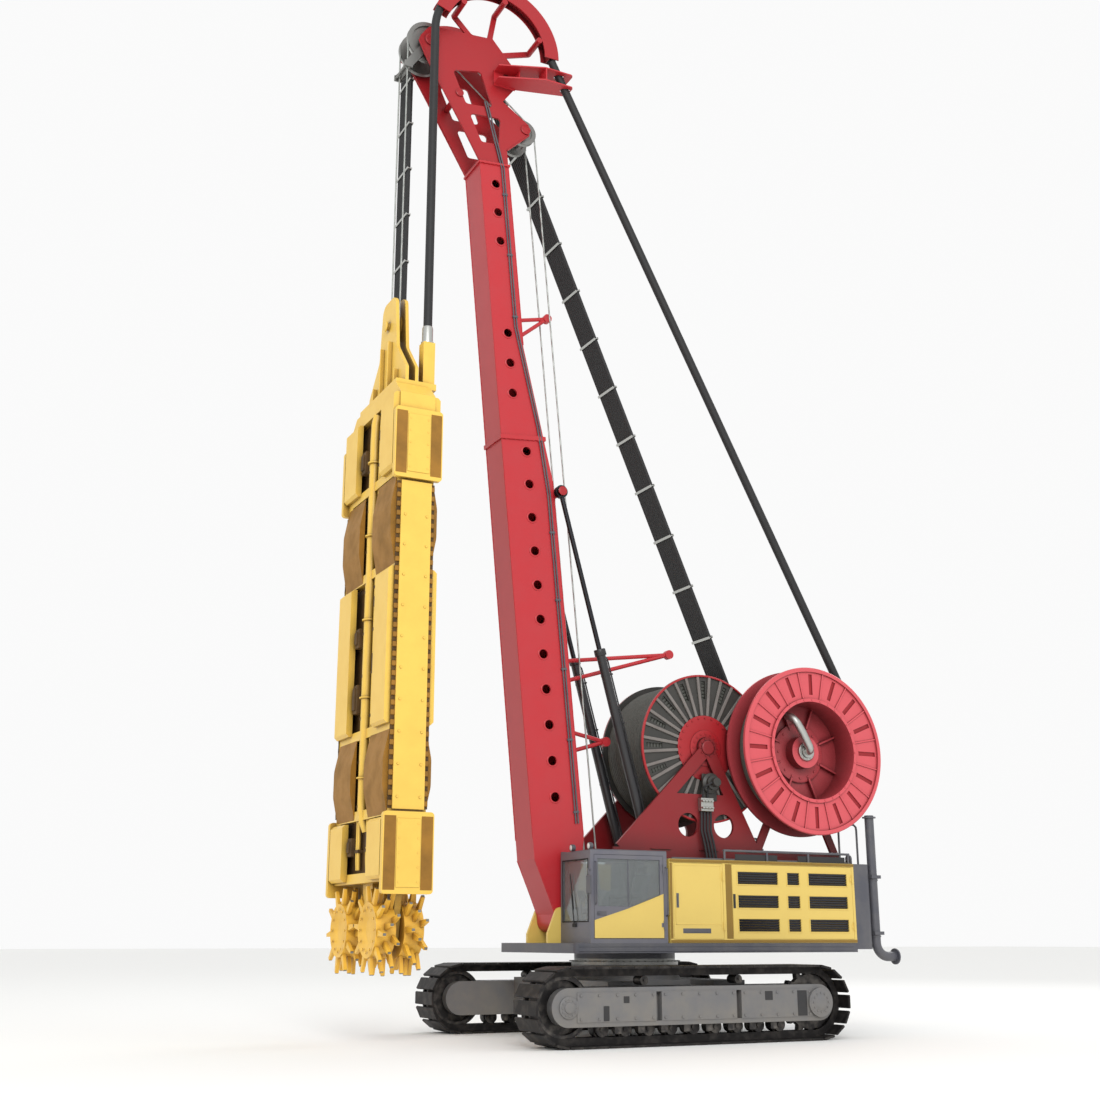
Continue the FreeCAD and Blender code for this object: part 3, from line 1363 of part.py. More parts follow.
def make_rear_reel():
    """A slotted flange outside, a plain one inside, and a wide hollow core open to the side."""
    reel = new_body()
    middle = (rear_reel_in + rear_reel_out) / 2
    half = (rear_reel_out - rear_reel_in) / 2
    outer = half - reel_flange / 2
    slotted_flange(reel, rear_reel_radius, outer, reel_slots)
    pad(reel, sketch(reel, "XZ_Plane", [circle(0, 0, rear_reel_radius)], outer), reel_flange)
    pocket(reel, sketch(reel, "XZ_Plane", [circle(0, 0, rear_core - core_wall)], -outer),
           reel_flange * 4)
    core = [circle(0, 0, rear_core), circle(0, 0, rear_core - core_wall)]
    pad(reel, sketch(reel, "XZ_Plane", core), outer * 2)
    hub = pad(reel, sketch(reel, "XZ_Plane", [circle(0, 0, reel_hub)], half), reel_hub, "One side")
    hub.Reversed = True
    bore = sketch(reel, "XZ_Plane", [circle(0, 0, reel_pin + pin_gap)], half)
    reel.Tip = pocket(reel, bore, reel_hub * 4)
    return place(reel, (-rear_reel_x, middle, reel_z))


keep("rear_reel", make_rear_reel())

# The hoses wound on the reels are plain rings here.
front_wound = dim("front_wound", 1270)
rear_wound = dim("rear_wound", 1330)
wound = new_body()
pad(wound, sketch(wound, "XZ_Plane", [circle(0, 0, front_wound), circle(0, 0, front_core)]),
    (front_reel_half - reel_flange) * 2)
keep("front_reel_hose", place(wound, (-front_reel_x, 0, reel_z)))
wound = new_body()
pad(wound, sketch(wound, "XZ_Plane", [circle(0, 0, rear_wound), circle(0, 0, rear_core)]),
    rear_reel_out - rear_reel_in - reel_flange * 2)
keep("rear_reel_hose", place(wound, (-rear_reel_x, (rear_reel_in + rear_reel_out) / 2, reel_z)))


# ---------------------------------------------------------------- pipes and rails at the rear

pipe_radius = dim("pipe_radius", 84)
pipe_bore = dim("pipe_bore", 76)
pipe_x = dim("pipe_x", 4500)
pipe_y = dim("pipe_y", 1390)
pipe_top = dim("pipe_top", 3850)
pipe_bend = dim("pipe_bend", 250)
outlet_z = dim("outlet_z", 1320)
outlet_x = dim("outlet_x", 4930)
outlet_flange = dim("outlet_flange", 142)
outlet_thick = dim("outlet_thick", 24)
outlet_bolts = 8
outlet_pcd = dim("outlet_pcd", 240)
outlet_hole = dim("outlet_hole", 11)


def bent_pipe(owner, start, corner, end, bend, radius, inner):
    """A pipe along two straight runs with a bend of the given radius between them."""
    lead = (vector(corner) - vector(start)).normalize()
    leave = (vector(end) - vector(corner)).normalize()
    trim = number(bend) * math.tan(lead.getAngle(leave) / 2)
    into = vector(corner) - lead * trim
    out = vector(corner) + leave * trim
    centre = into + (leave - lead * leave.dot(lead)).normalize() * number(bend)
    middle = centre + (vector(corner) - centre).normalize() * number(bend)
    path = Part.Wire([Part.LineSegment(vector(start), into).toShape(),
                      Part.Arc(into, middle, out).toShape(),
                      Part.LineSegment(out, vector(end)).toShape()])
    walls = []
    for size in (radius, inner):
        ring = Part.Wire([Part.Circle(vector(start), lead, number(size)).toShape()])
        walls.append(path.makePipeShell([ring], True, False))
    owner.Shape = walls[0].cut(walls[1])
    return owner


pipe = doc.addObject("Part::Feature", "Pipe")
bent_pipe(pipe, (-pipe_x, pipe_y, pipe_top), (-pipe_x, pipe_y, outlet_z),
          (-outlet_x, pipe_y, outlet_z), pipe_bend, pipe_radius, pipe_bore)
flange_ring = new_body()
holes = [circle(0, 0, outlet_flange), circle(0, 0, pipe_radius)]
pad(flange_ring, sketch(flange_ring, "YZ_Plane", holes), outlet_thick, "One side")
bolt = sketch(flange_ring, "YZ_Plane", [circle(0, outlet_pcd / 2, outlet_hole)])
bolt_hole = pocket(flange_ring, bolt, outlet_thick * 2)
repeat_around(flange_ring, [bolt_hole], own_axis(flange_ring, "X_Axis"), 360, outlet_bolts)
place(flange_ring, (-outlet_x, pipe_y, outlet_z))
clamp_low, clamp_high = dim("clamp_low", 1700), dim("clamp_high", 2700)
clamps = []
for height in (clamp_low, clamp_high):
    block_low = (-pipe_x - pipe_radius * 1.3, pipe_y - pipe_radius * 1.3, height)
    block_high = (-deck_rear + weight_round, pipe_y + pipe_radius * 1.3, height + sill)
    hole = rod((-pipe_x, pipe_y, height - sill), (-pipe_x, pipe_y, height + sill * 2), pipe_radius)
    body_of_weight = block((-deck_rear, -half_deck, weight_bottom), (0, half_deck, house_top))
    clamps.append(cut(block(block_low, block_high), [hole, body_of_weight]))
keep("slurry_pipe", fuse([pipe, flange_ring] + clamps))


rail_radius = dim("rail_radius", 21)
rail_height = dim("rail_height", 170)
rail_inset = dim("rail_inset", 60)
rail_length = dim("rail_length", 2700)
rail_posts = 4

# A low handrail stands along the outer edge of each roof.
rails = []
for turn in (1, -1):
    y = (half_deck - rail_inset) * turn
    start = rail_inset - weight_face
    top = house_top + rail_height
    rails.append(rod((start - rail_radius, y, top), (start + rail_length + rail_radius, y, top),
                     rail_radius))
    for index in range(rail_posts):
        x = start + rail_length * (index / (rail_posts - 1))
        rails.append(rod((x, y, house_top), (x, y, top), rail_radius))
keep("handrails", fuse(rails))


# ---------------------------------------------------------------- spans from the upperworks to the head

# Hoses and ropes that run free between the machine and the boom head are straight bars here.
rope_radius = dim("rope_radius", 16)
span_gap = dim("span_gap", 0.5)
slurry_side = dim("slurry_side", 1125)
feed_side = dim("feed_side", 20)


def tangent_point(centre, radius, point):
    """Where a line from a point touches a circle on its rear side, both in the XZ plane."""
    across_x, up = number(point[0] - centre[0]), number(point[1] - centre[1])
    reach = math.hypot(across_x, up)
    angle = math.atan2(up, across_x) + math.acos(number(radius) / reach)
    return (number(centre[0]) + number(radius) * math.cos(angle),
            number(centre[1]) + number(radius) * math.sin(angle))


def below(start, end, deep, wide):
    """A line's upper end, drawn back until a square cut there stays under the end's level."""
    along = (vector(end) - vector(start)).normalize()
    rise = (number(deep) * abs(along.x) + number(wide) * abs(along.y)) / along.z
    return tuple(vector(end) - along * (rise + number(span_gap)))


arc_centre = from_boom(arc_x, 0, arc_z)
arc_back = (arc_centre[0] - guide_radius, arc_centre[2])
wound = rear_wound + slurry_radius + span_gap
touch = tangent_point((-rear_reel_x, reel_z), wound, arc_back)
start, end = (touch[0], slurry_side, touch[1]), (arc_back[0], arc_y, arc_back[1])
slurry_end = below(start, end, slurry_radius, slurry_radius)
slurry_span = rod(start, slurry_end, slurry_radius)
slurry_start = start
wound = front_wound + feed_radius + span_gap
far_centre = from_boom(far_arc_x, 0, far_arc_z)
far_back = (far_centre[0] - feed_arc_radius, far_centre[2])
touch = tangent_point((-front_reel_x, reel_z), wound, far_back)
start, end = (touch[0], -feed_side, touch[1]), (far_back[0], -arc_y, far_back[1])
feed_end = below(start, end, feed_radius, feed_half)
feed_span = bar(start, feed_end, feed_radius * 2, feed_half * 2)
keep("hose_spans", group([slurry_span, feed_span]))
rear_axle = from_boom(-rear_sheave_x, 0, rear_sheave_z)
rope_top = (rear_axle[0] - rear_groove - rope_radius - span_gap, rear_axle[2])
rope_foot = (winch_x + winch_core + rope_radius + span_gap, winch_z)
keep("hoist_rope_span", group([rod((rope_foot[0], sheave_y * turn, rope_foot[1]),
                                   (rope_top[0], sheave_y * turn, rope_top[1]), rope_radius)
                               for turn in (1, -1)]))


# ---------------------------------------------------------------- falls that carry the cutter

yoke_pin_z = dim("yoke_pin_z", 12450)
hose_end_z = dim("hose_end_z", 11900)
feed_end_z = dim("feed_end_z", 11450)
front_axle = from_boom(sheave_x, 0, sheave_z)
fall_x = front_axle[0] + sheave_groove + rope_radius + running_gap
fall_top = front_axle[2]
falls = []
for turn in (1, -1):
    falls.append(rod((fall_x, sheave_y * turn, yoke_pin_z + span_gap),
                     (fall_x, sheave_y * turn, fall_top), rope_radius))
keep("hoist_ropes", group(falls))
hose_x = arc_centre[0] + guide_radius
near_drop = rod((hose_x, arc_y, hose_end_z + span_gap), (hose_x, arc_y, arc_centre[2] - span_gap),
                slurry_radius)
far_drop = block((hose_x - feed_radius, -arc_y - feed_half, feed_end_z + span_gap),
                 (hose_x + feed_radius, feed_half - arc_y, arc_centre[2] - span_gap))
keep("cutter_hoses", group([near_drop, far_drop]))


# ---------------------------------------------------------------- cutter frame

# The cutter hangs with its wide side square to the machine.  Its own frame starts under the
# middle of it, on the ground: x is its thickness, y its width.
cutter_thick = dim("cutter_thick", 860)
frame_low = dim("frame_low", 2500)
frame_high = dim("frame_high", 10950)
column_half = dim("column_half", 1290)
column_width = dim("column_width", 230)
frame_half_x = dim("frame_half_x", 320)
cross_height = dim("cross_height", 160)
skin_inset = dim("skin_inset", 110)
skin_thick = dim("skin_thick", 25)
shoulder = dim("shoulder", 260)
bay_levels = (3600, 4950, 7700, 9300)
guide_low_top = dim("guide_low_top", 3570)
guide_high_low = dim("guide_high_low", 9120)
guide_high_top = dim("guide_high_top", 10380)
guide_side = dim("guide_side", 1390)
side_panel = dim("side_panel", 50)
flap_bulge = dim("flap_bulge", 95)
flap_wide = dim("flap_wide", 900)
flap_out = dim("flap_out", 1240)
pad_in = dim("pad_in", 620)
pad_out = dim("pad_out", 1260)
pad_bevel = dim("pad_bevel", 50)


def on_cutter(item, x=0, y=0, z=0):
    """Sets a piece drawn in the cutter's own frame in its place."""
    return place(item, (cutter_x + x, y, z))


def cutter_block(low, high):
    return block((cutter_x + low[0], low[1], low[2]), (cutter_x + high[0], high[1], high[2]))


frame = new_body()
outer = polygon((-column_half, frame_low), (column_half, frame_low),
                (column_half, frame_high - shoulder), (column_half - shoulder, frame_high),
                (shoulder - column_half, frame_high), (-column_half, frame_high - shoulder))
pad(frame, sketch(frame, "YZ_Plane", [outer]), frame_half_x * 2)
levels = [dim(f"bay_level_{index + 1}", level) for index, level in enumerate(bay_levels)]
bottoms = [frame_low + cross_height] + [level + cross_height / 2 for level in levels]
tops = [level - cross_height / 2 for level in levels] + [frame_high - shoulder]
inside = column_half - column_width
for low, high in zip(bottoms, tops):
    bay = polygon((-inside, low), (inside, low), (inside, high), (-inside, high))
    pocket(frame, sketch(frame, "YZ_Plane", [bay]), frame_half_x * 4)
on_cutter(frame)
skins = []
for low, high in zip(bottoms, tops):
    for turn in (1, -1):
        near = (frame_half_x - skin_inset) * turn
        far = (frame_half_x - skin_inset - skin_thick) * turn
        first, second = (near, far) if turn < 0 else (far, near)
        skins.append(cutter_block((first, -inside, low), (second, inside, high)))
wheel_y = dim("wheel_y", 710)
wheel_z = dim("wheel_z", 1760)
shield_half = dim("shield_half", 55)
shield_top_half = dim("shield_top_half", 330)
shield_boss = dim("shield_boss", 230)
wheel_axle = dim("wheel_axle", 90)
shields = []
for turn in (1, -1):
    shield = new_body()
    outline = polygon((-shield_top_half, frame_low - wheel_z), (shield_top_half, frame_low - wheel_z),
                      (shield_boss, 0, shield_boss * 0.9), (shield_boss * 0.8, -shield_boss, 60),
                      (-shield_boss * 0.8, -shield_boss, 60), (-shield_boss, 0, shield_boss * 0.9))
    pad(shield, sketch(shield, "YZ_Plane", [outline]), shield_half * 2)
    bore = sketch(shield, "YZ_Plane", [circle(0, 0, wheel_axle + pin_gap)])
    pocket(shield, bore, shield_half * 4)
    shields.append(on_cutter(shield, 0, wheel_y * turn, wheel_z))
keep("cutter_frame", fuse([frame] + skins + shields))

# Guide boxes and long panels stand on both narrow sides, and covers with bevelled ends on the
# columns of the wide sides, over and under the flaps.
guides = []
for turn in (1, -1):
    for low, high in ((frame_low - 200, guide_low_top), (guide_high_low, guide_high_top)):
        box = new_body()
        outline = polygon((-cutter_thick / 2, low, 60), (cutter_thick / 2, low, 60),
                          (cutter_thick / 2, high, 60), (-cutter_thick / 2, high, 60))
        pad(box, sketch(box, "YZ_Plane", [outline]), guide_side - column_half - running_gap)
        middle = (guide_side + column_half + running_gap) / 2
        turned = Rotation(Vector(0, 0, 1), 90)
        guides.append(place(box, (cutter_x, middle * turn, 0), turned))
    low_y, high_y = column_half + running_gap, column_half + side_panel
    first, second = (low_y, high_y) if turn > 0 else (-high_y, -low_y)
    guides.append(cutter_block((side_panel - frame_half_x, first, guide_low_top + 40),
                               (frame_half_x - side_panel, second, guide_high_low - 40)))
bands = ((frame_low + 40, levels[0] - 110), (levels[1] + 30, levels[2] - 110),
         (levels[3] + 30, frame_high - shoulder))
for low, high in bands:
    for turn in (1, -1):
        for side in (1, -1):
            root = (frame_half_x + running_gap) * turn
            face = cutter_thick / 2 * turn
            bevel = (cutter_thick / 2 - pad_bevel) * turn
            outline = polygon((root, low), (root, high), (bevel, high), (face, high - pad_bevel),
                              (face, low + pad_bevel), (bevel, low))
            cover = new_body()
            pad(cover, sketch(cover, "XZ_Plane", [outline]), pad_out - pad_in)
            guides.append(on_cutter(cover, 0, (pad_out + pad_in) / 2 * side, 0))
keep("cutter_guides", group(guides))

# Each steering flap is a bowed plate that stands a little proud of the wide side.
flaps = []
for low, high in ((levels[0] - 60, levels[1] - 70), (levels[2] - 60, levels[3] - 100)):
    for turn in (1, -1):
        for side in (1, -1):
            root = (frame_half_x + running_gap) * turn
            crown = (frame_half_x + running_gap + flap_bulge) * turn
            third = (high - low) / 3
            outline = polygon((root, low), (root, high), (crown, high - third, 500),
                              (crown, low + third, 500))
            flap = new_body()
            pad(flap, sketch(flap, "XZ_Plane", [outline]), flap_wide)
            flaps.append(on_cutter(flap, 0, (flap_out - flap_wide / 2) * side, 0))
keep("steering_flaps", group(flaps))


# ---------------------------------------------------------------- mud pump and cutter wheels

suction_half = dim("suction_half", 230)
suction_mouth = dim("suction_mouth", 60)
suction_low = dim("suction_low", 2060)
pump_radius = dim("pump_radius", 330)
pump_half = dim("pump_half", 150)
suction = new_body()
outline = polygon((-suction_half, frame_low - running_gap), (-suction_half, frame_low - 150),
                  (-suction_mouth, suction_low), (suction_mouth, suction_low),
                  (suction_half, frame_low - 150), (suction_half, frame_low - running_gap))
pad(suction, sketch(suction, "YZ_Plane", [outline]), frame_half_x)
on_cutter(suction)
pump_floor = frame_low + cross_height + running_gap
pump = rod((cutter_x - pump_half, 0, pump_floor + pump_radius),
           (cutter_x + pump_half, 0, pump_floor + pump_radius), pump_radius)
foot = cutter_block((-pump_half, -pump_radius, pump_floor), (pump_half, pump_radius, pump_floor + 160))
keep("mud_pump", group([suction, fuse([pump, foot])]))

wheel_tip = dim("wheel_tip", 690)
wheel_drum = dim("wheel_drum", 430)
drum_inner = dim("drum_inner", 70)
drum_outer = dim("drum_outer", 400)
drum_hub = dim("drum_hub", 200)
drum_dish = dim("drum_dish", 60)
cutter_tooth_root = dim("cutter_tooth_root", 55)
cutter_tooth_crest = dim("cutter_tooth_crest", 26)
cutter_tooth_width = dim("cutter_tooth_width", 56)
tooth_count = 10
row_places = (0.14, 0.5, 0.86)


def make_cutter_wheel(side, turn):
    """Two toothed half drums on one axle; it turns about the machine's X axis."""
    wheel = new_body()
    corners = [(-drum_outer, 0)]
    for way in (-1, 1):
        near, far = (drum_outer, drum_inner) if way < 0 else (drum_inner, drum_outer)
        ring = [(way * near, wheel_axle), (way * near, wheel_drum),
                (way * far, wheel_drum), (way * far, wheel_axle)]
        if way < 0:
            ring[0:1] = [(way * (near - drum_dish), 0), (way * (near - drum_dish), drum_hub)]
            corners = ring
        else:
            ring[3:4] = [(way * (far - drum_dish), drum_hub), (way * (far - drum_dish), 0)]
            corners = corners + ring
    revolve(wheel, sketch(wheel, "XZ_Plane", [polygon(*corners)]), "X_Axis")
    rows = []
    for way in (1, -1):
        for order, share in enumerate(row_places):
            lift = (drum_inner + (drum_outer - drum_inner) * share) * way
            aim = math.radians(order * 12 + (18 if way < 0 else 0))
            outline = []
            for half, reach in ((cutter_tooth_root, wheel_drum - 25), (cutter_tooth_crest, wheel_tip),
                                (-cutter_tooth_crest, wheel_tip), (-cutter_tooth_root, wheel_drum - 25)):
                outline.append((half * math.cos(aim) + reach * math.sin(aim) * turn,
                                reach * math.cos(aim) - half * math.sin(aim) * turn))
            drawing = sketch(wheel, "YZ_Plane", [polygon(*outline)], lift)
            rows.append(pad(wheel, drawing, cutter_tooth_width))
    repeat_around(wheel, rows, own_axis(wheel, "X_Axis"), 360, tooth_count)
    keep(f"cutter_wheel_{side}", on_cutter(wheel, 0, wheel_y * turn, wheel_z))


make_cutter_wheel("left", 1)
make_cutter_wheel("right", -1)


# ---------------------------------------------------------------- yoke and rope keeper

yoke_half = dim("yoke_half", 950)
yoke_top = dim("yoke_top", 12960)
yoke_plate = dim("yoke_plate", 60)
yoke_gap = dim("yoke_gap", 60)
yoke_neck = dim("yoke_neck", 330)
pulley_rim = dim("pulley_rim", 240)
hose_post = dim("hose_post", 110)
plates = []
for turn in (1, -1):
    plate = new_body()
    outline = polygon((-yoke_half, frame_high + running_gap), (yoke_half, frame_high + running_gap),
                      (yoke_half, frame_high + 380, 80), (yoke_neck + 120, frame_high + 950, 200),
                      (yoke_neck, yoke_top, 200), (-yoke_neck, yoke_top, 200),
                      (-yoke_neck - 120, frame_high + 950, 200), (-yoke_half, frame_high + 380, 80))
    pad(plate, sketch(plate, "YZ_Plane", [outline]), yoke_plate)
    plates.append(on_cutter(plate, (yoke_gap + yoke_plate / 2) * turn, 0, 0))
sole = cutter_block((-frame_half_x * 0.9, -yoke_half, frame_high + running_gap),
                    (frame_half_x * 0.9, yoke_half, frame_high + 120))
pin = rod((cutter_x - yoke_gap - yoke_plate * 2, 0, yoke_pin_z),
          (cutter_x + yoke_gap + yoke_plate * 2, 0, yoke_pin_z), sheave_pin)
pulley = new_body()
rim_half = yoke_gap - 10
groove_floor = sheave_y - rope_radius - running_gap
profile = polygon((-yoke_gap, 0), (-yoke_gap, sleeve_radius), (-rim_half, sleeve_radius),
                  (-rim_half, pulley_rim), (-groove_half, groove_floor),
                  (groove_half, groove_floor), (rim_half, pulley_rim),
                  (rim_half, sleeve_radius), (yoke_gap, sleeve_radius), (yoke_gap, 0))
revolve(pulley, sketch(pulley, "XZ_Plane", [profile]), "X_Axis")
on_cutter(pulley, 0, 0, yoke_pin_z)
post_x = hose_x - cutter_x
near_post = cutter_block((post_x - hose_post, arc_y - hose_post, frame_high - 200),
                         (post_x + hose_post, arc_y + hose_post, hose_end_z))
far_post = cutter_block((post_x - hose_post, -arc_y - feed_half - 30, frame_high - 200),
                        (post_x + hose_post, feed_half + 30 - arc_y, feed_end_z))
shelf = cutter_block((post_x - hose_post, -yoke_half, frame_high + running_gap),
                     (0, yoke_half, frame_high + 120))
trim = cutter_block((-frame_half_x * 2, -yoke_half * 2, frame_high - 400),
                    (frame_half_x * 2, yoke_half * 2, frame_high + running_gap))
fittings = [sole, pin, pulley, near_post, far_post, shelf]
keep("cutter_yoke", cut(fuse(plates + fittings), [trim]))

keeper_in = dim("keeper_in", 270)
keeper_thick = dim("keeper_thick", 28)
keeper_drop = dim("keeper_drop", 620)
keeper_ring = dim("keeper_ring", 165)
keeper_bar = dim("keeper_bar", 24)
keeper = []
for turn in (1, -1):
    side_y = (keeper_in + keeper_thick / 2) * turn
    reach = fall_x - front_axle[0]
    ring = rod((front_axle[0], side_y - keeper_thick / 2, fall_top),
               (front_axle[0], side_y + keeper_thick / 2, fall_top), keeper_ring)
    arm = bar((front_axle[0], side_y, fall_top), (fall_x, side_y, fall_top - keeper_drop),
              keeper_ring, keeper_thick)
    plate = cutter_block((-keeper_ring / 2, side_y - keeper_thick / 2, fall_top - keeper_drop - 60),
                         (keeper_ring / 2, side_y + keeper_thick / 2, fall_top - keeper_drop + 60))
    hole = rod((front_axle[0], side_y - keeper_thick, fall_top),
               (front_axle[0], side_y + keeper_thick, fall_top), sleeve_radius + running_gap)
    keeper.append(cut(fuse([ring, arm, plate]), [hole]))
    offset = (rope_radius + keeper_bar + 4) * turn
    keeper.append(rod((fall_x + offset, -keeper_in - keeper_thick, fall_top - keeper_drop),
                      (fall_x + offset, keeper_in + keeper_thick, fall_top - keeper_drop),
                      keeper_bar))
keep("rope_keeper", fuse(keeper))


# ---------------------------------------------------------------- rope guides on the boom's rear

guide_tube = dim("guide_tube", 38)
guide_eye = dim("guide_eye", 85)
guide_foot = dim("guide_foot", 30)
guide_spread = dim("guide_spread", 190)


def guide_arm(index, rear, root_z, tip_x, tip_z):
    """Two slender tubes from a foot plate on the boom's rear to one eye, in the boom's frame."""
    root_z, tip_z = dim(f"guide_{index}_root", root_z), dim(f"guide_{index}_tip", tip_z)
    reach = -dim(f"guide_{index}_reach", tip_x)
    face = -rear - running_gap
    foot = block((face - guide_foot, -guide_eye, root_z - guide_spread * 1.3),
                 (face, guide_eye, root_z + guide_spread * 1.3))
    tubes = [rod((face - guide_foot, 0, root_z + guide_spread * side), (reach, 0, tip_z),
                 guide_tube) for side in (1, -1)]
    eye = rod((reach, -guide_tube * 1.5, tip_z), (reach, guide_tube * 1.5, tip_z), guide_eye)
    return on_boom(fuse([foot, eye] + tubes))


# A bracket of two level plates on the head's left cheek steadies the slurry hose.
arm_low = dim("arm_low", 17930)
arm_gap = dim("arm_gap", 270)
arm_plate = dim("arm_plate", 25)
arm_root = dim("arm_root", 2900)
arm_waist = dim("arm_waist", 2440)
arm_nose = dim("arm_nose", 1420)
arm_out = dim("arm_out", 940)
arm_in = dim("arm_in", 610)
hose_room = dim("hose_room", 12)
root_y = half_boom + running_gap
shelf_levels = (arm_low, arm_low + arm_gap)
shelves = []
for level in shelf_levels:
    shelf = new_body()
    outline = polygon((arm_root, root_y), (arm_root, arm_in), (arm_nose + arm_in, arm_out),
                      (arm_nose, arm_out, 60), (arm_nose, arm_in, 60), (arm_waist, root_y))
    pad(shelf, sketch(shelf, "XY_Plane", [outline]), arm_plate)
    shelves.append(place(shelf, (0, 0, level)))
low, high = arm_low - arm_plate / 2, arm_low + arm_gap + arm_plate / 2
webs = [block((arm_waist, root_y, low - arm_plate), (arm_root, root_y + arm_plate, high + arm_plate)),
        block((arm_nose + arm_in - arm_plate, arm_in, low), (arm_nose + arm_in, arm_out, high)),
        block((arm_waist, root_y, low), (arm_waist + arm_plate, arm_in, high))]
slurry_way = rod(slurry_start, slurry_end, slurry_radius + hose_room)
hose_arm = cut(fuse(shelves + webs), [slurry_way])
keep("rope_guides", group([guide_arm("low", lower_rear, 3080, 1290, 3045),
                           guide_arm("middle", lower_rear, 4355, 2840, 4655),
                           guide_arm("high", upper_rear, 11000, 850, 11300), hose_arm]))


# ---------------------------------------------------------------- check and write

doc.recompute()
for item in doc.Objects:
    if "Invalid" in item.State or "Error" in item.State:
        raise RuntimeError(f"{item.Label} of {item.TypeId} failed: {item.State}")
for name, item in nodes.items():
    if item.Shape.isNull() or not item.Shape.isValid():
        raise RuntimeError(f"{name} has no valid shape")
os.makedirs("parts", exist_ok=True)
for name, item in nodes.items():
    item.Shape.exportStep(f"parts/{name}.step")
print(f"{len(nodes)} pieces, {sum(len(item.Shape.Solids) for item in nodes.values())} solids")
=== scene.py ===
import math

import bmesh
import bpy
import numpy as np
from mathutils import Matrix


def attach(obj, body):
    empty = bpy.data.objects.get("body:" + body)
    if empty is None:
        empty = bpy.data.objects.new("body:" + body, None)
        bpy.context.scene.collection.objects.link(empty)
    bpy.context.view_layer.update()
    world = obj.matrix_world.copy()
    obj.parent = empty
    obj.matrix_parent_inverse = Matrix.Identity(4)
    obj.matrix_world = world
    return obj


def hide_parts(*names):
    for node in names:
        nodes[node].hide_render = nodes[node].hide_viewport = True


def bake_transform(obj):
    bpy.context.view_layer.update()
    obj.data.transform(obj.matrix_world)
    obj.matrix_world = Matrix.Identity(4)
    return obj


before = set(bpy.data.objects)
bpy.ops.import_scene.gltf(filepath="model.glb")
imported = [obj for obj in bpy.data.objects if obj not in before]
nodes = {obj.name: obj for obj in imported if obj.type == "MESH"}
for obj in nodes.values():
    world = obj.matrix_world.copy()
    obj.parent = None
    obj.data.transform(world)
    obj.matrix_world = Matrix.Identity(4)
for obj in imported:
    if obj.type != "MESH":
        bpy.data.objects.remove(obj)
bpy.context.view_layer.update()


# -------------------------------- carbody and track frames
# Welded steel boxes that carry the slewing ring and the crawler tracks.  They are shot-blasted
# and sprayed with a mid grey two-pack paint, which dulls to a low gloss and picks up pale dust
# towards the ground.


def linear(colour):
    """An sRGB hex colour as linear red, green, blue and alpha."""
    shares = np.array([int(colour[i:i + 2], 16) for i in (1, 3, 5)]) / 255
    shares = np.where(shares <= 0.04045, shares / 12.92, ((shares + 0.055) / 1.055) ** 2.4)
    return (*shares.tolist(), 1.0)


def add_node(tree, kind, settings=None, links=None):
    """Adds a node, sets its properties and unlinked inputs, and links its other inputs."""
    node = tree.nodes.new(kind)
    for name, value in (settings or {}).items():
        if hasattr(node, name) and name not in node.inputs:
            setattr(node, name, value)
        else:
            node.inputs[name].default_value = value
    for name, source in (links or {}).items():
        tree.links.new(source, node.inputs[name])
    return node


def new_material(name):
    """An empty material with its node tree, shader and object coordinates."""
    material = bpy.data.materials.new(name)
    material.use_nodes = True
    tree = material.node_tree
    tree.nodes.clear()
    shader = add_node(tree, "ShaderNodeBsdfPrincipled")
    add_node(tree, "ShaderNodeOutputMaterial", links={"Surface": shader.outputs["BSDF"]})
    return material, tree, shader, add_node(tree, "ShaderNodeTexCoord").outputs["Object"]


def noise(tree, place, size, detail, rough=0.5):
    """Cloudy noise with features of a given size in metres."""
    return add_node(tree, "ShaderNodeTexNoise",
                    {"Scale": 1 / size, "Detail": detail, "Roughness": rough},
                    {"Vector": place}).outputs["Fac"]


def remapped(tree, value, low, high, start, end):
    """A value in low..high stretched to start..end."""
    return add_node(tree, "ShaderNodeMapRange",
                    {"From Min": low, "From Max": high, "To Min": start, "To Max": end},
                    {"Value": value}).outputs["Result"]


def coloured(tree, shader, share, first, second):
    """Blends two hex colours by a share, as the shader's base colour."""
    blend = add_node(tree, "ShaderNodeMix", {"data_type": "RGBA"}, {"Factor": share})
    blend.inputs[6].default_value = linear(first)
    blend.inputs[7].default_value = linear(second)
    tree.links.new(blend.outputs[2], shader.inputs["Base Color"])


def bumped(tree, shader, height, strength, distance):
    """Raises the surface by a height pattern."""
    bump = add_node(tree, "ShaderNodeBump", {"Strength": strength, "Distance": distance},
                    {"Height": height})
    tree.links.new(bump.outputs["Normal"], shader.inputs["Normal"])


def sprayed_paint(name, coat, dust_and_painted_light, dust_height=1.0, gloss=0.42, share=0.35):
    """Two-pack paint: cloudy patches 400 mm across in the coat, fine 6 mm orange peel in the gloss,
    and a second tone that thins out upwards to a given height above the ground. On most paints the
    second tone is dust. On the paints noted where they are made it is painted shade, and on the
    boom's red it is partly painted sheen."""
    material, tree, shader, place = new_material(name)
    clouds = noise(tree, place, 0.4, 5, 0.6)
    height = add_node(tree, "ShaderNodeSeparateXYZ", links={"Vector": place}).outputs["Z"]
    dust_and_light_share = add_node(tree, "ShaderNodeMath", {"operation": "MULTIPLY_ADD", "use_clamp": True},
                       {0: remapped(tree, height, 0, dust_height, 0.75, 0), 1: clouds,
                        2: remapped(tree, clouds, 0.38, 0.68, 0, share)}).outputs[0]
    coloured(tree, shader, dust_and_light_share, coat, dust_and_painted_light)
    tree.links.new(remapped(tree, dust_and_light_share, 0, 1, gloss, gloss + 0.3), shader.inputs["Roughness"])
    bumped(tree, shader, noise(tree, place, 0.006, 2), 0.12, 0.0006)
    return material


def finish_with(material, *names):
    """Puts one finish on CAD pieces that are shown as they are."""
    for name in names:
        nodes[name].data.materials.clear()
        nodes[name].data.materials.append(material)


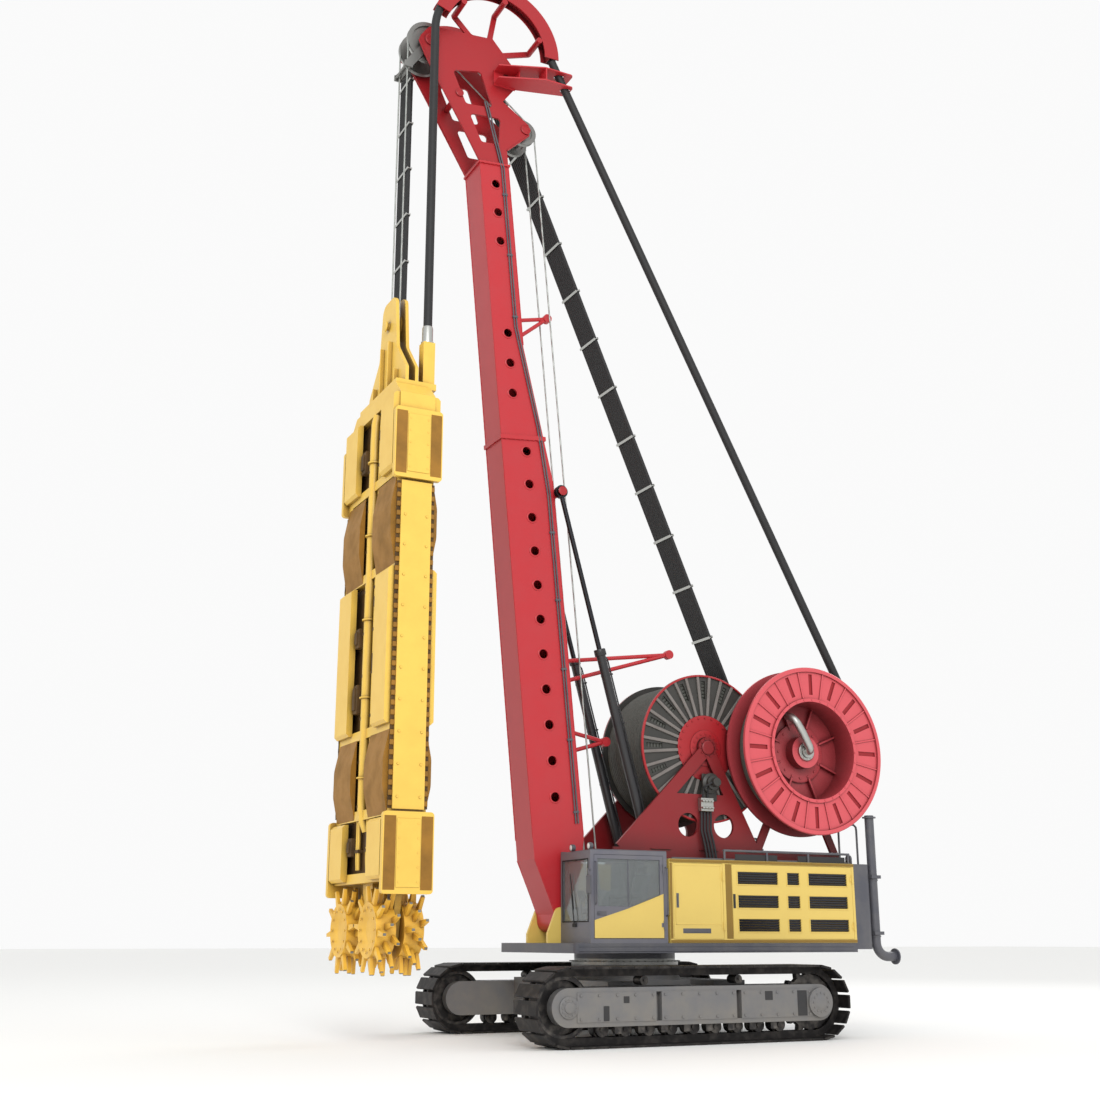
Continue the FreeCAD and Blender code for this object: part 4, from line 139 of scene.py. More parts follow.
chassis_paint = sprayed_paint("mid grey two-pack paint", "#6b6b6d", "#857f75")
finish_with(chassis_paint, "carbody", "track_frame_left", "track_frame_right")
black_paint = sprayed_paint("black two-pack paint", "#242427", "#3c3a38", 1.0, 0.35,
                            0.2)


# -------------------------------- crawler tracks and their wheels
# Cast manganese steel shoes linked in a loop, with rollers, an idler and a toothed sprocket inside.
# Bare castings darken to a brown-black skin; the treads and rails are rubbed a little brighter.

def cast_steel(name, skin, rubbed, rough):
    """Sand-cast steel: a 12 mm pitted skin, with 150 mm patches rubbed towards bright metal."""
    material, tree, shader, place = new_material(name)
    coloured(tree, shader, remapped(tree, noise(tree, place, 0.15, 6), 0.45, 0.75, 0, 1), skin,
             rubbed)
    shader.inputs["Metallic"].default_value = 0.7
    shader.inputs["Roughness"].default_value = rough
    bumped(tree, shader, noise(tree, place, 0.012, 3), 0.35, 0.0015)
    return material


shoe_steel = cast_steel("cast manganese steel", "#2c2a2a", "#4c4845", 0.6)
finish_with(shoe_steel, "track_left", "track_right")
wheel_steel = cast_steel("forged wheel steel", "#3a3838", "#77726c", 0.5)
finish_with(wheel_steel, "track_rollers", "idlers", "sprockets")


def grid_faces(rows, columns, loop_rows=False, loop_columns=False):
    """Quads of a grid of rows x columns points; either way round may close on itself."""
    row = np.arange(rows if loop_rows else rows - 1)
    column = np.arange(columns if loop_columns else columns - 1)
    i, j = (part.ravel() for part in np.meshgrid(row, column, indexing="ij"))
    k, l = (i + 1) % rows, (j + 1) % columns
    return np.stack([i * columns + j, k * columns + j, k * columns + l, i * columns + l],
                    1).tolist()


def joined(parts):
    """Several (points, faces) pairs as one."""
    points, faces, start = [], [], 0
    for some, corners in parts:
        points.append(some)
        faces += [[index + start for index in face] for face in corners]
        start += len(some)
    return np.concatenate(points), faces


def moved(shape, move, turn=np.eye(3)):
    """A shape turned by a matrix, then moved: p' = R p + move."""
    points, faces = shape
    return np.asarray(points) @ np.array(turn, float).T + move, faces


def copied(shape, places, turn=np.eye(3)):
    """One shape, turned the same way, set down at many places."""
    return joined([moved(shape, place, turn) for place in places])


def about_y(cosine, sine):
    """The matrix of a turn about Y."""
    return np.array([[cosine, 0, sine], [0, 1, 0], [-sine, 0, cosine]], float)


def on_both_sides(shapes):
    """Shapes drawn on the left side, with their mirror images: p' = (x, -y, z)."""
    return joined(shapes + [moved(shape, (0, 0, 0), np.diag([1, -1, 1])) for shape in shapes])


def turned_ring(profile, steps, centre=(0, 0, 0), axis="Y"):
    """A profile of (radius, distance along the axis) turned about an axis: p(i, a) = centre +
    r(i) (cos a, sin a) square to the axis + d(i) along it.  It runs round to its first point,
    unless it starts and ends at a pole, where the radius is 0."""
    profile = np.array(profile, float)
    angle = np.linspace(0, 2 * np.pi, steps, endpoint=False)
    ring = np.stack([profile[:, :1] * np.cos(angle), profile[:, :1] * np.sin(angle),
                     np.repeat(profile[:, 1:], steps, 1)], -1).reshape(-1, 3)
    order = {"X": (2, 0, 1), "Y": (1, 2, 0), "Z": (0, 1, 2)}[axis]
    faces = grid_faces(len(profile), steps, profile[0, 0] > 0, True)
    return ring[:, order] + np.array(centre, float), faces


def band(inner, outer, low, high):
    """The square profile of a plain ring, for turned_ring."""
    return [(inner, low), (outer, low), (outer, high), (inner, high)]


def tube_along(path, radius, sides=12, side=(0, 1, 0)):
    """A round tube: p(i, a) = path(i) + radius (cos a u(i) + sin a v(i)), with u square to the
    path and to a fixed side, and v square to both.  The ends shrink to a pole."""
    path = np.array(path, float)
    run = np.gradient(path, axis=0)
    run /= np.linalg.norm(run, axis=1, keepdims=True)
    u = np.cross(np.array(side, float), run)
    u /= np.linalg.norm(u, axis=1, keepdims=True)
    v = np.cross(run, u)
    angle = np.linspace(0, 2 * np.pi, sides, endpoint=False)
    reach = np.broadcast_to(np.array(radius, float), (len(path),))[:, None, None]
    ring = (path[:, None, :] + reach * (np.cos(angle)[None, :, None] * u[:, None, :]
                                        + np.sin(angle)[None, :, None] * v[:, None, :]))
    ends = [np.repeat(path[end][None, None, :], sides, 1) for end in (0, -1)]
    grid = np.concatenate([ends[0], ring, ends[1]])
    return grid.reshape(-1, 3), grid_faces(len(path) + 2, sides, False, True)


def block_of(low, high, edge=0.004):
    """A block with small bevelled edges: each corner is cut back along the three edges."""
    low, high = np.array(low, float), np.array(high, float)
    edge = min(edge, *((high - low) / 3))
    signs = np.array([(x, y, z) for x in (-1, 1) for y in (-1, 1) for z in (-1, 1)], float)
    points = np.concatenate([signs * ((high - low) / 2 - edge * (1 - np.eye(3)[way]))
                             for way in range(3)])
    faces = []
    for way in range(3):
        a, b = [other for other in range(3) if other != way]
        for sign in (-1, 1):
            ring = [index for index in range(8) if signs[index][way] == sign]
            ring.sort(key=lambda index: math.atan2(signs[index][b], signs[index][a]))
            faces.append([index + 8 * way for index in ring])
    for a, b in ((0, 1), (1, 2), (0, 2)):
        for s in (-1, 1):
            for t in (-1, 1):
                p, q = [index for index in range(8)
                        if signs[index][a] == s and signs[index][b] == t]
                faces.append([p + 8 * a, q + 8 * a, q + 8 * b, p + 8 * b])
    faces += [[index, index + 8, index + 16] for index in range(8)]
    return points + (low + high) / 2, faces


def blocks(edge, *rows):
    """Bevelled blocks, one from each row of two opposite corners (x, y, z, x, y, z)."""
    return [block_of(row[:3], row[3:], edge) for row in rows]


def piece(name, shape, material, body, replaced=None):
    """Makes a mesh from one shape or a list, with its faces outwards. It rides one body, given by
    its name; given as (body, body, start, end) it rides none and keeps its place in the world,
    baked into its points. It may take the place of a CAD node."""
    points, faces = joined(shape) if isinstance(shape, list) else shape
    mesh = bpy.data.meshes.new(name)
    mesh.from_pydata(np.asarray(points, float).tolist(), [], faces)
    sculpt = bmesh.new()
    sculpt.from_mesh(mesh)
    bmesh.ops.remove_doubles(sculpt, verts=sculpt.verts, dist=2e-6)
    bmesh.ops.dissolve_degenerate(sculpt, dist=1e-6, edges=sculpt.edges)
    bmesh.ops.recalc_face_normals(sculpt, faces=sculpt.faces)
    sculpt.to_mesh(mesh)
    sculpt.free()
    mesh.materials.append(material)
    mesh.shade_smooth()
    mesh.set_sharp_from_angle(angle=math.radians(35))
    item = bpy.data.objects.new(name, mesh)
    bpy.context.scene.collection.objects.link(item)
    if isinstance(body, str):
        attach(item, body)
    else:
        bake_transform(item)
    if replaced:
        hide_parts(replaced)


# Six-sided bolt heads hold the side covers to each track frame.
bolt_head = turned_ring([(0, 0), (0.020, 0), (0.022, 0.003), (0.022, 0.013), (0.019, 0.016),
                         (0, 0.016)], 6)
cover_face = 2.432
cover_bolts = [(low + step, cover_face, z) for low in (-2.22, -0.707, 0.807)
               for step in (0.06, 0.38, 0.71, 1.03, 1.35) for z in (0.43, 0.78)]
piece("track_cover_bolts", on_both_sides([copied(bolt_head, cover_bolts)]), chassis_paint,
      "undercarriage")

# Black pressed lids close the tensioner's, the greasing and the motor's openings in the covers.
lids = blocks(0.004, *((low, 2.431, bottom, high, 2.440, top) for low, high, bottom, top in (
    (1.66, 1.76, 0.40, 0.62), (-1.42, -1.27, 0.66, 0.80), (-2.11, -1.92, 0.40, 0.80),
    (1.30, 1.40, 0.66, 0.76))))
piece("track_cover_lids", on_both_sides(lids), black_paint, "undercarriage")


def bolt_circle(centre, radius, count, size=1.0):
    """Bolt heads evenly round a circle in the XZ plane, facing +Y."""
    places = [np.array(centre) + (radius * math.cos(a), 0, radius * math.sin(a))
              for a in 2 * np.pi * np.arange(count) / count]
    return copied(bolt_head, places, size * np.eye(3))


# A domed hub cover with a ring of bolts closes each drive and each idler.
hub_z = 0.605
hub_covers = []
for x, face, reach, rise in ((-2.365, 2.48, 0.205, 0.018), (2.365, 2.435, 0.165, 0.045)):
    dome = [(0, rise), (reach * 0.35, rise), (reach * 0.5, rise * 0.8),
            (reach * 0.55, rise * 0.45), (reach * 0.9, rise * 0.3), (reach, rise * 0.13),
            (reach, -0.04), (0, -0.04)]
    hub_covers += [turned_ring(dome, 48, (x, face, hub_z)),
                   bolt_circle((x, face + rise * 0.27, hub_z), reach * 0.74, 12, 0.8)]
piece("hub_covers", on_both_sides(hub_covers), chassis_paint, "undercarriage")

# Rubbed guide plates stand between the rollers under each frame.
track_y, guard_out = 2.1, 0.262
guards = blocks(0.006, *((x - 0.06, y - 0.012, 0.20, x + 0.06, y + 0.012, 0.33)
                         for x in np.arange(-1.47, 1.48, 0.42)
                         for y in (track_y + guard_out, track_y - guard_out)))
piece("roller_guards", on_both_sides(guards), wheel_steel, "undercarriage")


# -------------------------------- slewing ring, pins and sheaves
# Rings, sheaves and a drum turned from alloy steel, left bare and oiled, so they keep a soft grey
# shine with fine turning marks.  The slewing ring is bolted down all round, and the cylinder rods
# are nitrided black.

def turned_steel(name, tone, rough):
    """Machined steel: rings of turning marks 4 mm apart over a thin film of oil."""
    material, tree, shader, place = new_material(name)
    shader.inputs["Base Color"].default_value = linear(tone)
    shader.inputs["Metallic"].default_value = 1.0
    haze = remapped(tree, noise(tree, place, 0.004, 2), 0, 1, rough - 0.08, rough + 0.12)
    tree.links.new(haze, shader.inputs["Roughness"])
    return material


bare_steel = turned_steel("oiled turned steel", "#8f8f8c", 0.38)
finish_with(bare_steel, "slewing_ring", "hoist_sheaves", "rear_sheaves", "winch_drum",
            "rope_keeper")
finish_with(turned_steel("black nitrided rod", "#38383b", 0.24), "luff_rods")
facing_up = np.array([[1, 0, 0], [0, 0, 1], [0, 1, 0]], float)
ring_spots = [(0.96 * math.cos(a), 0.96 * math.sin(a), 1.25)
              for a in np.linspace(0, 2 * np.pi, 48, endpoint=False)]
piece("slewing_ring_bolts", copied(bolt_head, ring_spots, facing_up), bare_steel, "undercarriage")


# -------------------------------- deck, counterweight and rails
# The slewing deck and the cast counterweight are sprayed dark grey; the rails are galvanised
# tube in the same coat.

deck_paint = sprayed_paint("dark grey two-pack paint", "#4e4f57", "#8b867d", 1.0,
                           0.4, 0.2)
finish_with(deck_paint, "main_frame", "counterweight", "handrails", "slurry_pipe", "winch_frame")


def slab(outline, low, high, axis="Y"):
    """A flat plate: an outline in the other two axes, drawn through from low to high."""
    outline = np.array(outline, float)
    count = len(outline)
    flat = np.concatenate([outline, outline])
    across = np.repeat([low, high], count)[:, None]
    columns = {"X": (across, flat), "Y": (flat[:, :1], across, flat[:, 1:])}[axis]
    faces = [list(range(count)), list(range(count, 2 * count))[::-1]]
    faces += [[i, (i + 1) % count, (i + 1) % count + count, i + count] for i in range(count)]
    return np.concatenate(columns, 1), faces


# Lifting eyes on plates, upright bars on the counterweight, and strips along the deck's sides.
eye_profile = [(0.035, -0.02), (0.075, -0.02), (0.08, -0.012), (0.08, 0.012), (0.075, 0.02),
               (0.035, 0.02)]
weight_parts = [turned_ring(eye_profile, 32, (-4.2, 1.1, 3.06), "X")]
weight_parts += blocks(0.004, (-4.22, 1.02, 2.92, -4.18, 1.18, 3.03),
                       (-4.30, 0.98, 2.93, -4.10, 1.22, 2.955),
                       *((-4.405, y, 1.75, -4.392, y + 0.04, 2.75) for y in (0.05, 0.55, 1.05)))
weight_parts += blocks(0.005, (-3.9, 1.498, 1.425, 1.70, 1.512, 1.475))
weight_parts += blocks(0.003, (-3.9, 1.498, 1.50, 1.70, 1.506, 1.55))
piece("deck_and_weight_trim", on_both_sides(weight_parts), deck_paint, "upperworks")

# Expanded-metal walkways lie along both roofs: crossed strands 60 mm apart in a flat frame.
strands = blocks(0.001, *((x, 1.0, 2.952, x + 0.006, 1.40, 2.972)
                          for x in np.arange(-3.9, -0.2, 0.06)),
                 *((-3.92, y, 2.955, -0.18, y + 0.006, 2.975) for y in np.arange(1.0, 1.41, 0.08)))
strands += blocks(0.003, (-3.94, 0.985, 2.95, -0.16, 1.0, 2.985),
                  (-3.94, 1.405, 2.95, -0.16, 1.42, 2.985))
piece("roof_walkways", on_both_sides(strands), deck_paint, "upperworks")
toe_boards = blocks(0.002, *((low, 1.425, 2.952, high, 1.433, 3.065)
                             for low, high in ((-3.85, -2.80), (-2.35, -1.45))))
piece("roof_toe_boards", on_both_sides(toe_boards), black_paint, "upperworks")


# -------------------------------- machine houses
# Houses folded from sheet steel over a welded frame, with hinged doors along their outer sides.
# Panels and doors are sprayed warm yellow, and the frame that shows between them is painted a dark
# ochre that stands in for its shade.

house_paint = sprayed_paint("warm yellow two-pack paint", "#dfc266", "#c2a052",
                            1.0, 0.38, 0.1)
finish_with(house_paint, "house_left", "house_right", "service_door_left", "service_door_right",
            "louvre_door_left", "louvre_door_right", "boom_foot_bracket")
# The dark ochre stands in for the shade on the frame round the doors: painted shade.
frame_shade_paint = sprayed_paint("ochre paint as painted frame shade", "#8a6a1c", "#6d5a2a", 1.0,
                            0.45, 0.3)

# Posts between the doors, a gutter above them and a sill below, in darker ochre, painted shade on
# the frame. Trim is let into the wall's outer face by 1 mm.
wall = 1.499
posts = blocks(0.001, (-1.315, wall, 1.63, -1.185, wall + 0.004, 2.885),
               (-0.105, wall, 1.63, -0.055, wall + 0.004, 2.885))
posts += blocks(0.004, (-3.98, wall, 2.90, -0.055, wall + 0.017, 2.945),
                (-3.98, wall, 1.565, -0.055, wall + 0.013, 1.612))
piece("house_posts", on_both_sides(posts), frame_shade_paint, "upperworks")


def louvre(low_x, high_x, low_z, high_z):
    """Five slanted slats behind a slot, the upper edge of each outside."""
    step = (high_z - low_z) / 5
    return [slab([(1.474, z + 0.002), (1.478, z + 0.002), (1.496, z + step * 0.9),
                  (1.492, z + step * 0.9)], low_x - 0.01, high_x + 0.01, "X")
            for z in low_z + step * np.arange(5)]


# The louvre doors have slats in framed slots and a latch; the service doors a pull and beads.
slats, frames = [], []
for low_z, high_z in ((1.75, 1.96), (2.15, 2.36), (2.55, 2.76)):
    for low_x, high_x in ((-2.29, -1.44), (-2.755, -2.495), (-3.81, -2.96)):
        slats += louvre(low_x, high_x, low_z, high_z)
        frames += blocks(0.003, (low_x - 0.02, 1.5, low_z - 0.02, high_x + 0.02, 1.508, low_z),
                         (low_x - 0.02, 1.5, high_z, high_x + 0.02, 1.508, high_z + 0.02),
                         (low_x - 0.02, 1.5, low_z, low_x, 1.508, high_z),
                         (high_x, 1.5, low_z, high_x + 0.02, 1.508, high_z))
latch = (blocks(0.006, (-1.375, wall, 2.18, -1.345, wall + 0.019, 2.34))
         + blocks(0.002, (-1.385, 1.498, 2.14, -1.335, wall + 0.005, 2.38)))
pull = (blocks(0.002, (-0.86, wall, 1.72, -0.30, wall + 0.005, 1.80),
               (-0.23, 1.498, 2.14, -0.18, wall + 0.005, 2.38))
        + blocks(0.003, (-0.84, wall + 0.004, 1.74, -0.32, 1.511, 1.755))
        + blocks(0.006, (-0.22, wall, 2.18, -0.19, wall + 0.019, 2.34)))
bead = blocks(0.002, *((-1.09, wall, z, -0.16, wall + 0.005, z + 0.012) for z in (1.86, 2.84)),
              *((x, wall, 1.86, x + 0.012, wall + 0.005, 2.852) for x in (-1.09, -0.172)))
for side, turn in (("left", 1), ("right", -1)):
    for name, shapes, paint, door in (
            ("louvre_slats", slats, black_paint, "louvre_door"),
            ("louvre_frames", frames, house_paint, "louvre_door"),
            ("louvre_latch", latch, black_paint, "louvre_door"),
            ("service_door_pull", pull, deck_paint, "service_door"),
            ("service_door_bead", bead, house_paint, "service_door")):
        piece(f"{name}_{side}", moved(joined(shapes), (0, 0, 0), np.diag([1, turn, 1])), paint,
              f"{door}_{side}")

# Roof gear: raised hatches on both roofs, and the engine's exhaust with a rain flap.
roof = blocks(0.006, *((x, 0.78, 2.95, x + 0.75, 0.96, 2.985) for x in (-3.3, -2.2, -1.1)))
piece("roof_hatches", on_both_sides(roof), house_paint, "upperworks")
stack = [turned_ring(profile, 32, (-3.75, -1.2, 0), "Z")
         for profile in (band(0.069, 0.075, 2.93, 3.52),
                         [(0.11, 2.95), (0.15, 2.95), (0.15, 2.97), (0.076, 2.985), (0.076, 2.95)],
                         [(0.076, 3.05), (0.135, 3.07), (0.135, 3.36), (0.076, 3.38)])]
stack.append(moved(turned_ring(band(0, 0.085, 0, 0.008), 32, axis="Z"),
                   (-3.76, -1.2, 3.545), about_y(0.94, -0.34)))
piece("exhaust_stack", stack, deck_paint, "upperworks")
iron_paint = sprayed_paint("engine enamel", "#5c5e60", "#6b675f", 0.8, 0.45, 0.3)
finish_with(iron_paint, "engine_block")
engine_trim = blocks(0.01, *((-3.45, -1.35 - 0.02 * k, 1.70 + 0.16 * k,
                              -1.65, -0.77 + 0.02 * k, 1.76 + 0.16 * k) for k in range(4)))
engine_trim += [turned_ring([(0, -0.24), (0.13, -0.24), (0.14, -0.22), (0.14, 0.22), (0.13, 0.24),
                             (0, 0.24)], 32, (x, -1.06, 2.66))
                for x in (-3.15, -2.45, -1.75)]
piece("engine_ribs_and_filters", engine_trim, iron_paint, "upperworks")


# -------------------------------- cab glass and seat
# A cab of welded tube and sheet, glazed with toughened flat glass of a light grey tint in rubber
# seals.  Inside are moulded consoles, pedals and a stuffed seat sewn in dark twill.

def even_finish(name, tone, rough, clear=0.0, index=1.5):
    """One tone and gloss all over; for glass, how much light passes and its refractive index."""
    material, _, shader, _ = new_material(name)
    for socket, value in (("Base Color", linear(tone)), ("Roughness", rough),
                          ("Transmission Weight", clear), ("IOR", index)):
        shader.inputs[socket].default_value = value
    return material


finish_with(even_finish("tinted toughened glass", "#ccd3d4", 0.04, 0.85, 1.45),
            "cab_glass", "cab_door_glass")

# Twill: slanting ribs 3 mm apart, of threads over darker gaps.  At a scale of 1 the diagonal
# wave pattern repeats every 0.363 m.
seat_cloth, tree, shader, place = new_material("dark twill seat cloth")
ribs = add_node(tree, "ShaderNodeTexWave",
                {"bands_direction": "DIAGONAL", "Scale": 0.363 / 0.003, "Distortion": 0.4},
                {"Vector": place})
coloured(tree, shader, ribs.outputs["Fac"], "#313236", "#3a3b3f")
shader.inputs["Roughness"].default_value = 0.9
finish_with(seat_cloth, "cab_seat")

# The cab door is grey round its glass, with a yellow lower panel whose top edge rises rearwards.
cab_paint = sprayed_paint("cab grey two-pack paint", "#62626c", "#8b867d", 1.0, 0.36,
                          0.2)
finish_with(cab_paint, "cab_shell", "cab_door")
door_panel = [slab([(1.402, 1.640), (1.402, 1.900), (0.78, 2.085), (0.078, 2.335), (0.078, 1.640)],
                   1.500, 1.505),
              slab([(1.402, 1.900), (1.402, 1.925), (0.78, 2.110), (0.078, 2.360), (0.078, 2.335),
                    (0.78, 2.085)], 1.500, 1.509)]
piece("cab_door_panel", door_panel, house_paint, "cab_door")
hardware = blocks(0.003, (1.18, 1.503, 2.00, 1.35, 1.509, 2.07),
                  (0.74, 1.478, 2.15, 0.765, 1.486, 2.92))
hardware += [block_of((1.30, 1.503, 2.02), (1.35, 1.520, 2.05), 0.006),
             tube_along([(1.385, y, z) for y, z in (
                 (1.505, 2.18), (1.540, 2.20), (1.545, 2.30), (1.545, 2.75), (1.540, 2.85),
                 (1.505, 2.87))], 0.011, 10, (1, 0, 0))]
piece("cab_door_hardware", hardware, deck_paint, "cab_door")

# Moulded consoles with joysticks, a floor mat, the seat's base, a display on a post and pedals.
moulded = sprayed_paint("grained black moulding", "#232427", "#2f3033", 0.1, 0.6, 0.3)
inside = blocks(0.03, (0.18, 0.50, 1.61, 0.80, 0.66, 2.16), (0.18, 1.28, 1.61, 0.80, 1.40, 2.16))
inside += blocks(0.004, (0.90, 0.52, 1.607, 1.40, 1.42, 1.622),
                 (0.10, 0.66, 2.10, 0.36, 0.68, 2.14))
inside += [slab([(1.22, 1.62), (1.34, 1.62), (1.30, 2.02), (1.23, 2.06)], 0.86, 1.06),
           block_of((0.36, 0.78, 1.607), (0.68, 1.15, 1.70), 0.012),
           block_of((0.42, 0.83, 1.70), (0.62, 1.10, 1.93), 0.02),
           block_of((0.30, 0.74, 1.93), (0.74, 1.19, 1.962), 0.008),
           moved(block_of((-0.012, -0.13, -0.09), (0.012, 0.13, 0.09), 0.01),
                 (1.16, 0.62, 2.34), about_y(0.94, 0.34)),
           tube_along([(1.18, 0.62, 1.62), (1.20, 0.62, 1.95), (1.17, 0.62, 2.32)], 0.018),
           copied(block_of((-0.10, -0.045, -0.008), (0.10, 0.045, 0.008)),
                  [(1.18, 0.86, 1.70), (1.18, 1.06, 1.70)], about_y(0.86, 0.5))]
stick = tube_along([(x, 0, z) for x, z in (
    (0.62, 2.15), (0.62, 2.20), (0.61, 2.27), (0.60, 2.33), (0.60, 2.36))],
                   [0.05, 0.014, 0.012, 0.024, 0.018], 16, (1, 0, 0))
inside.append(copied(stick, [(0, 0.58, 0), (0, 1.34, 0)]))
piece("cab_consoles", inside, moulded, "upperworks")


def sewn_pad(half_x, half_y, depth, crown, seams=()):
    """A stuffed pad on a flat back: z = depth sqrt((1 - |u|^6) (1 - |v|^6))
    + crown (1 - u^2) (1 - v^2), drawn in by 12 mm along each seam and by 5 % at the sides."""
    count = 33
    reach = np.sin(np.linspace(-1, 1, count) * np.pi / 2)
    u, v = np.meshgrid(reach, reach, indexing="ij")
    x = half_x * u * (1 - 0.05 * (1 - v ** 2))
    y = half_y * v * (1 - 0.05 * (1 - u ** 2))
    swell = np.sqrt((1 - np.abs(u) ** 6) * (1 - np.abs(v) ** 6)).clip(0)
    top = depth * swell + crown * (1 - u ** 2) * (1 - v ** 2)
    for seam in seams:
        top -= 0.012 * swell * np.exp(-((u - seam) / 0.05) ** 2)
    points = [np.stack([x, y, z], -1).reshape(-1, 3) for z in (top + 0.003, -0.008 * swell - 0.003)]
    cell = np.arange(count ** 2).reshape(count, count)
    upper = np.array(grid_faces(count, count))
    rim = np.concatenate([cell[:-1, 0], cell[-1, :-1], cell[:0:-1, -1], cell[0, :0:-1]])
    after = np.roll(rim, -1)
    edge = np.stack([after, rim, rim + count ** 2, after + count ** 2], -1)
    return (np.concatenate(points),
            np.concatenate([upper, upper[:, ::-1] + count ** 2, edge]).tolist())


# The seat itself: stuffed cushion, back and head pads with sewn channels, and two arm pads.
rake = math.atan2(0.2, 0.98)
leaning = about_y(math.sin(rake), math.cos(rake))
padding = [moved(sewn_pad(0.25, 0.24, 0.095, 0.03, (-0.45, 0.0, 0.45)), (0.52, 0.965, 1.968)),
           moved(sewn_pad(0.325, 0.24, 0.095, 0.03, (-0.5, 0.0, 0.5)), (0.210, 0.965, 2.385),
                 leaning),
           moved(sewn_pad(0.075, 0.13, 0.05, 0.015), (0.152, 0.965, 2.765), leaning),
           copied(sewn_pad(0.18, 0.03, 0.025, 0.008), [(0.50, 0.70, 2.31), (0.50, 1.23, 2.31)])]
piece("cab_seat_padding", padding, seat_cloth, "upperworks", replaced="cab_seat")

# Rubber seals round the windscreen, with a wiper's motor, arm and blade.
rubber_edge = sprayed_paint("black glazing rubber", "#1b1b1c", "#262626", 0.1, 0.7,
                            0.2)
seals = blocks(0.003, *((1.478, low_y, low_z, 1.488, high_y, high_z)
                        for low_y, low_z, high_y, high_z in (
                            (0.495, 1.895, 1.435, 1.915), (0.495, 2.905, 1.435, 2.925),
                            (0.495, 1.895, 0.515, 2.925), (1.415, 1.895, 1.435, 2.925))))
seals += [tube_along([(1.500, 0.96, 1.86), (1.505, 0.93, 2.05), (1.500, 0.86, 2.36)],
                     [0.012, 0.009, 0.006], 8),
          moved(block_of((-0.008, -0.008, -0.30), (0.008, 0.008, 0.30), 0.003),
                (1.490, 0.86, 2.40), [[1, 0, 0], [0, 0.98, -0.2], [0, 0.2, 0.98]]),
          block_of((1.478, 0.90, 1.82), (1.510, 1.02, 1.88), 0.008)]
piece("cab_glazing_seals", seals, rubber_edge, "upperworks")

# Mirror on a bent arm, a grab rail, roof gutters, and two work lamps on a bar.
fixtures = [tube_along([(1.44, 1.47, 2.72), (1.56, 1.56, 2.74), (1.60, 1.66, 2.72),
                        (1.60, 1.68, 2.60)], 0.011, 10),
            block_of((1.585, 1.60, 2.34), (1.615, 1.76, 2.64), 0.012),
            tube_along([(0.02, y, z) for y, z in (
                (1.50, 2.0), (1.545, 2.02), (1.55, 2.1), (1.55, 2.7), (1.545, 2.78), (1.50, 2.8))],
                       0.012, 10, (1, 0, 0)),
            block_of((1.30, 0.60, 3.06), (1.34, 1.36, 3.085), 0.006)]
fixtures += blocks(0.008, (0.0, 0.43, 3.055, 1.48, 0.47, 3.075),
                   (0.0, 1.46, 3.055, 1.48, 1.50, 3.075))
lamp_spots = [(1.33, 0.66, 3.135), (1.33, 1.30, 3.135)]
fixtures += [copied(turned_ring([(0, 0), (0.05, 0), (0.06, 0.02), (0.06, 0.07), (0.05, 0.075),
                                 (0.05, 0.068), (0, 0.068)], 24, axis="X"),
                    lamp_spots),
             copied(block_of((0.01, -0.015, -0.06), (0.04, 0.015, -0.025), 0.003), lamp_spots)]
piece("cab_mirror_rail_and_lamps", fixtures, deck_paint, "upperworks")
lens = turned_ring([(0, 0.068), (0.047, 0.068), (0.047, 0.074), (0.03, 0.078), (0, 0.080)], 24,
                   axis="X")
piece("cab_lamp_lenses", copied(lens, lamp_spots),
      even_finish("clear lamp lens", "#e9ecec", 0.08), "upperworks")


# -------------------------------- boom and head
# Welded plate boxes with man holes down each side, sprayed signal red, and a plated head that
# carries the sheaves and the two hose arcs.

def paint_with_painted_shade(name, coat, dust_and_painted_light, shade_colour, reach, share):
    """Sprayed paint darkened towards a shade colour where other steel stands within a given reach
    of it: painted shade in recesses, corners and hollows.
    """
    material = sprayed_paint(name, coat, dust_and_painted_light, 0.8, 0.4, share)
    tree = material.node_tree
    colour = tree.nodes["Principled BSDF"].inputs["Base Color"]
    unshaded_coat = colour.links[0].from_socket
    # Ambient occlusion sets how far the coat is darkened: painted shade.
    openness = add_node(tree, "ShaderNodeAmbientOcclusion", {"samples": 8, "Distance": reach})
    shade_share = remapped(tree, openness.outputs["AO"], 0.30, 0.85, 0.9, 0)
    shaded_coat = add_node(tree, "ShaderNodeMix", {"data_type": "RGBA"}, {"Factor": shade_share})
    tree.links.new(unshaded_coat, shaded_coat.inputs[6])
    shaded_coat.inputs[7].default_value = linear(shade_colour)
    tree.links.new(shaded_coat.outputs[2], colour)
    return material


# The boom's red has a pale second tone in cloudy patches. It is partly dust and partly painted
# sheen, which pales the red as a gloss reflection would.
boom_paint = sprayed_paint("signal red two-pack paint", "#b8262e", "#a84045", 1.0,
                           0.36, 0.15)
finish_with(boom_paint, "boom_lower", "boom_upper", "rope_guides")
# The head, its pins, the hose arcs and the front reel's rims take a darker copy of the boom's red,
# painted shade for their lesser light. Ambient occlusion darkens their recesses further, also
# painted shade.
head_paint = paint_with_painted_shade("red paint darkened as painted shade", "#a3171f", "#8c2a2c", "#4a0c10",
                          0.5, 0.12)
finish_with(head_paint, "boom_head", "hose_arcs")
# The reel stand, its caps and its feet take a still darker copy of the red, painted shade. Ambient
# occlusion darkens it further where other steel stands near.
stand_paint = paint_with_painted_shade("dark red paint as painted shade", "#86131a", "#7c2c2c", "#3a0a0d",
                           0.8, 0.2)
finish_with(stand_paint, "reel_stand")


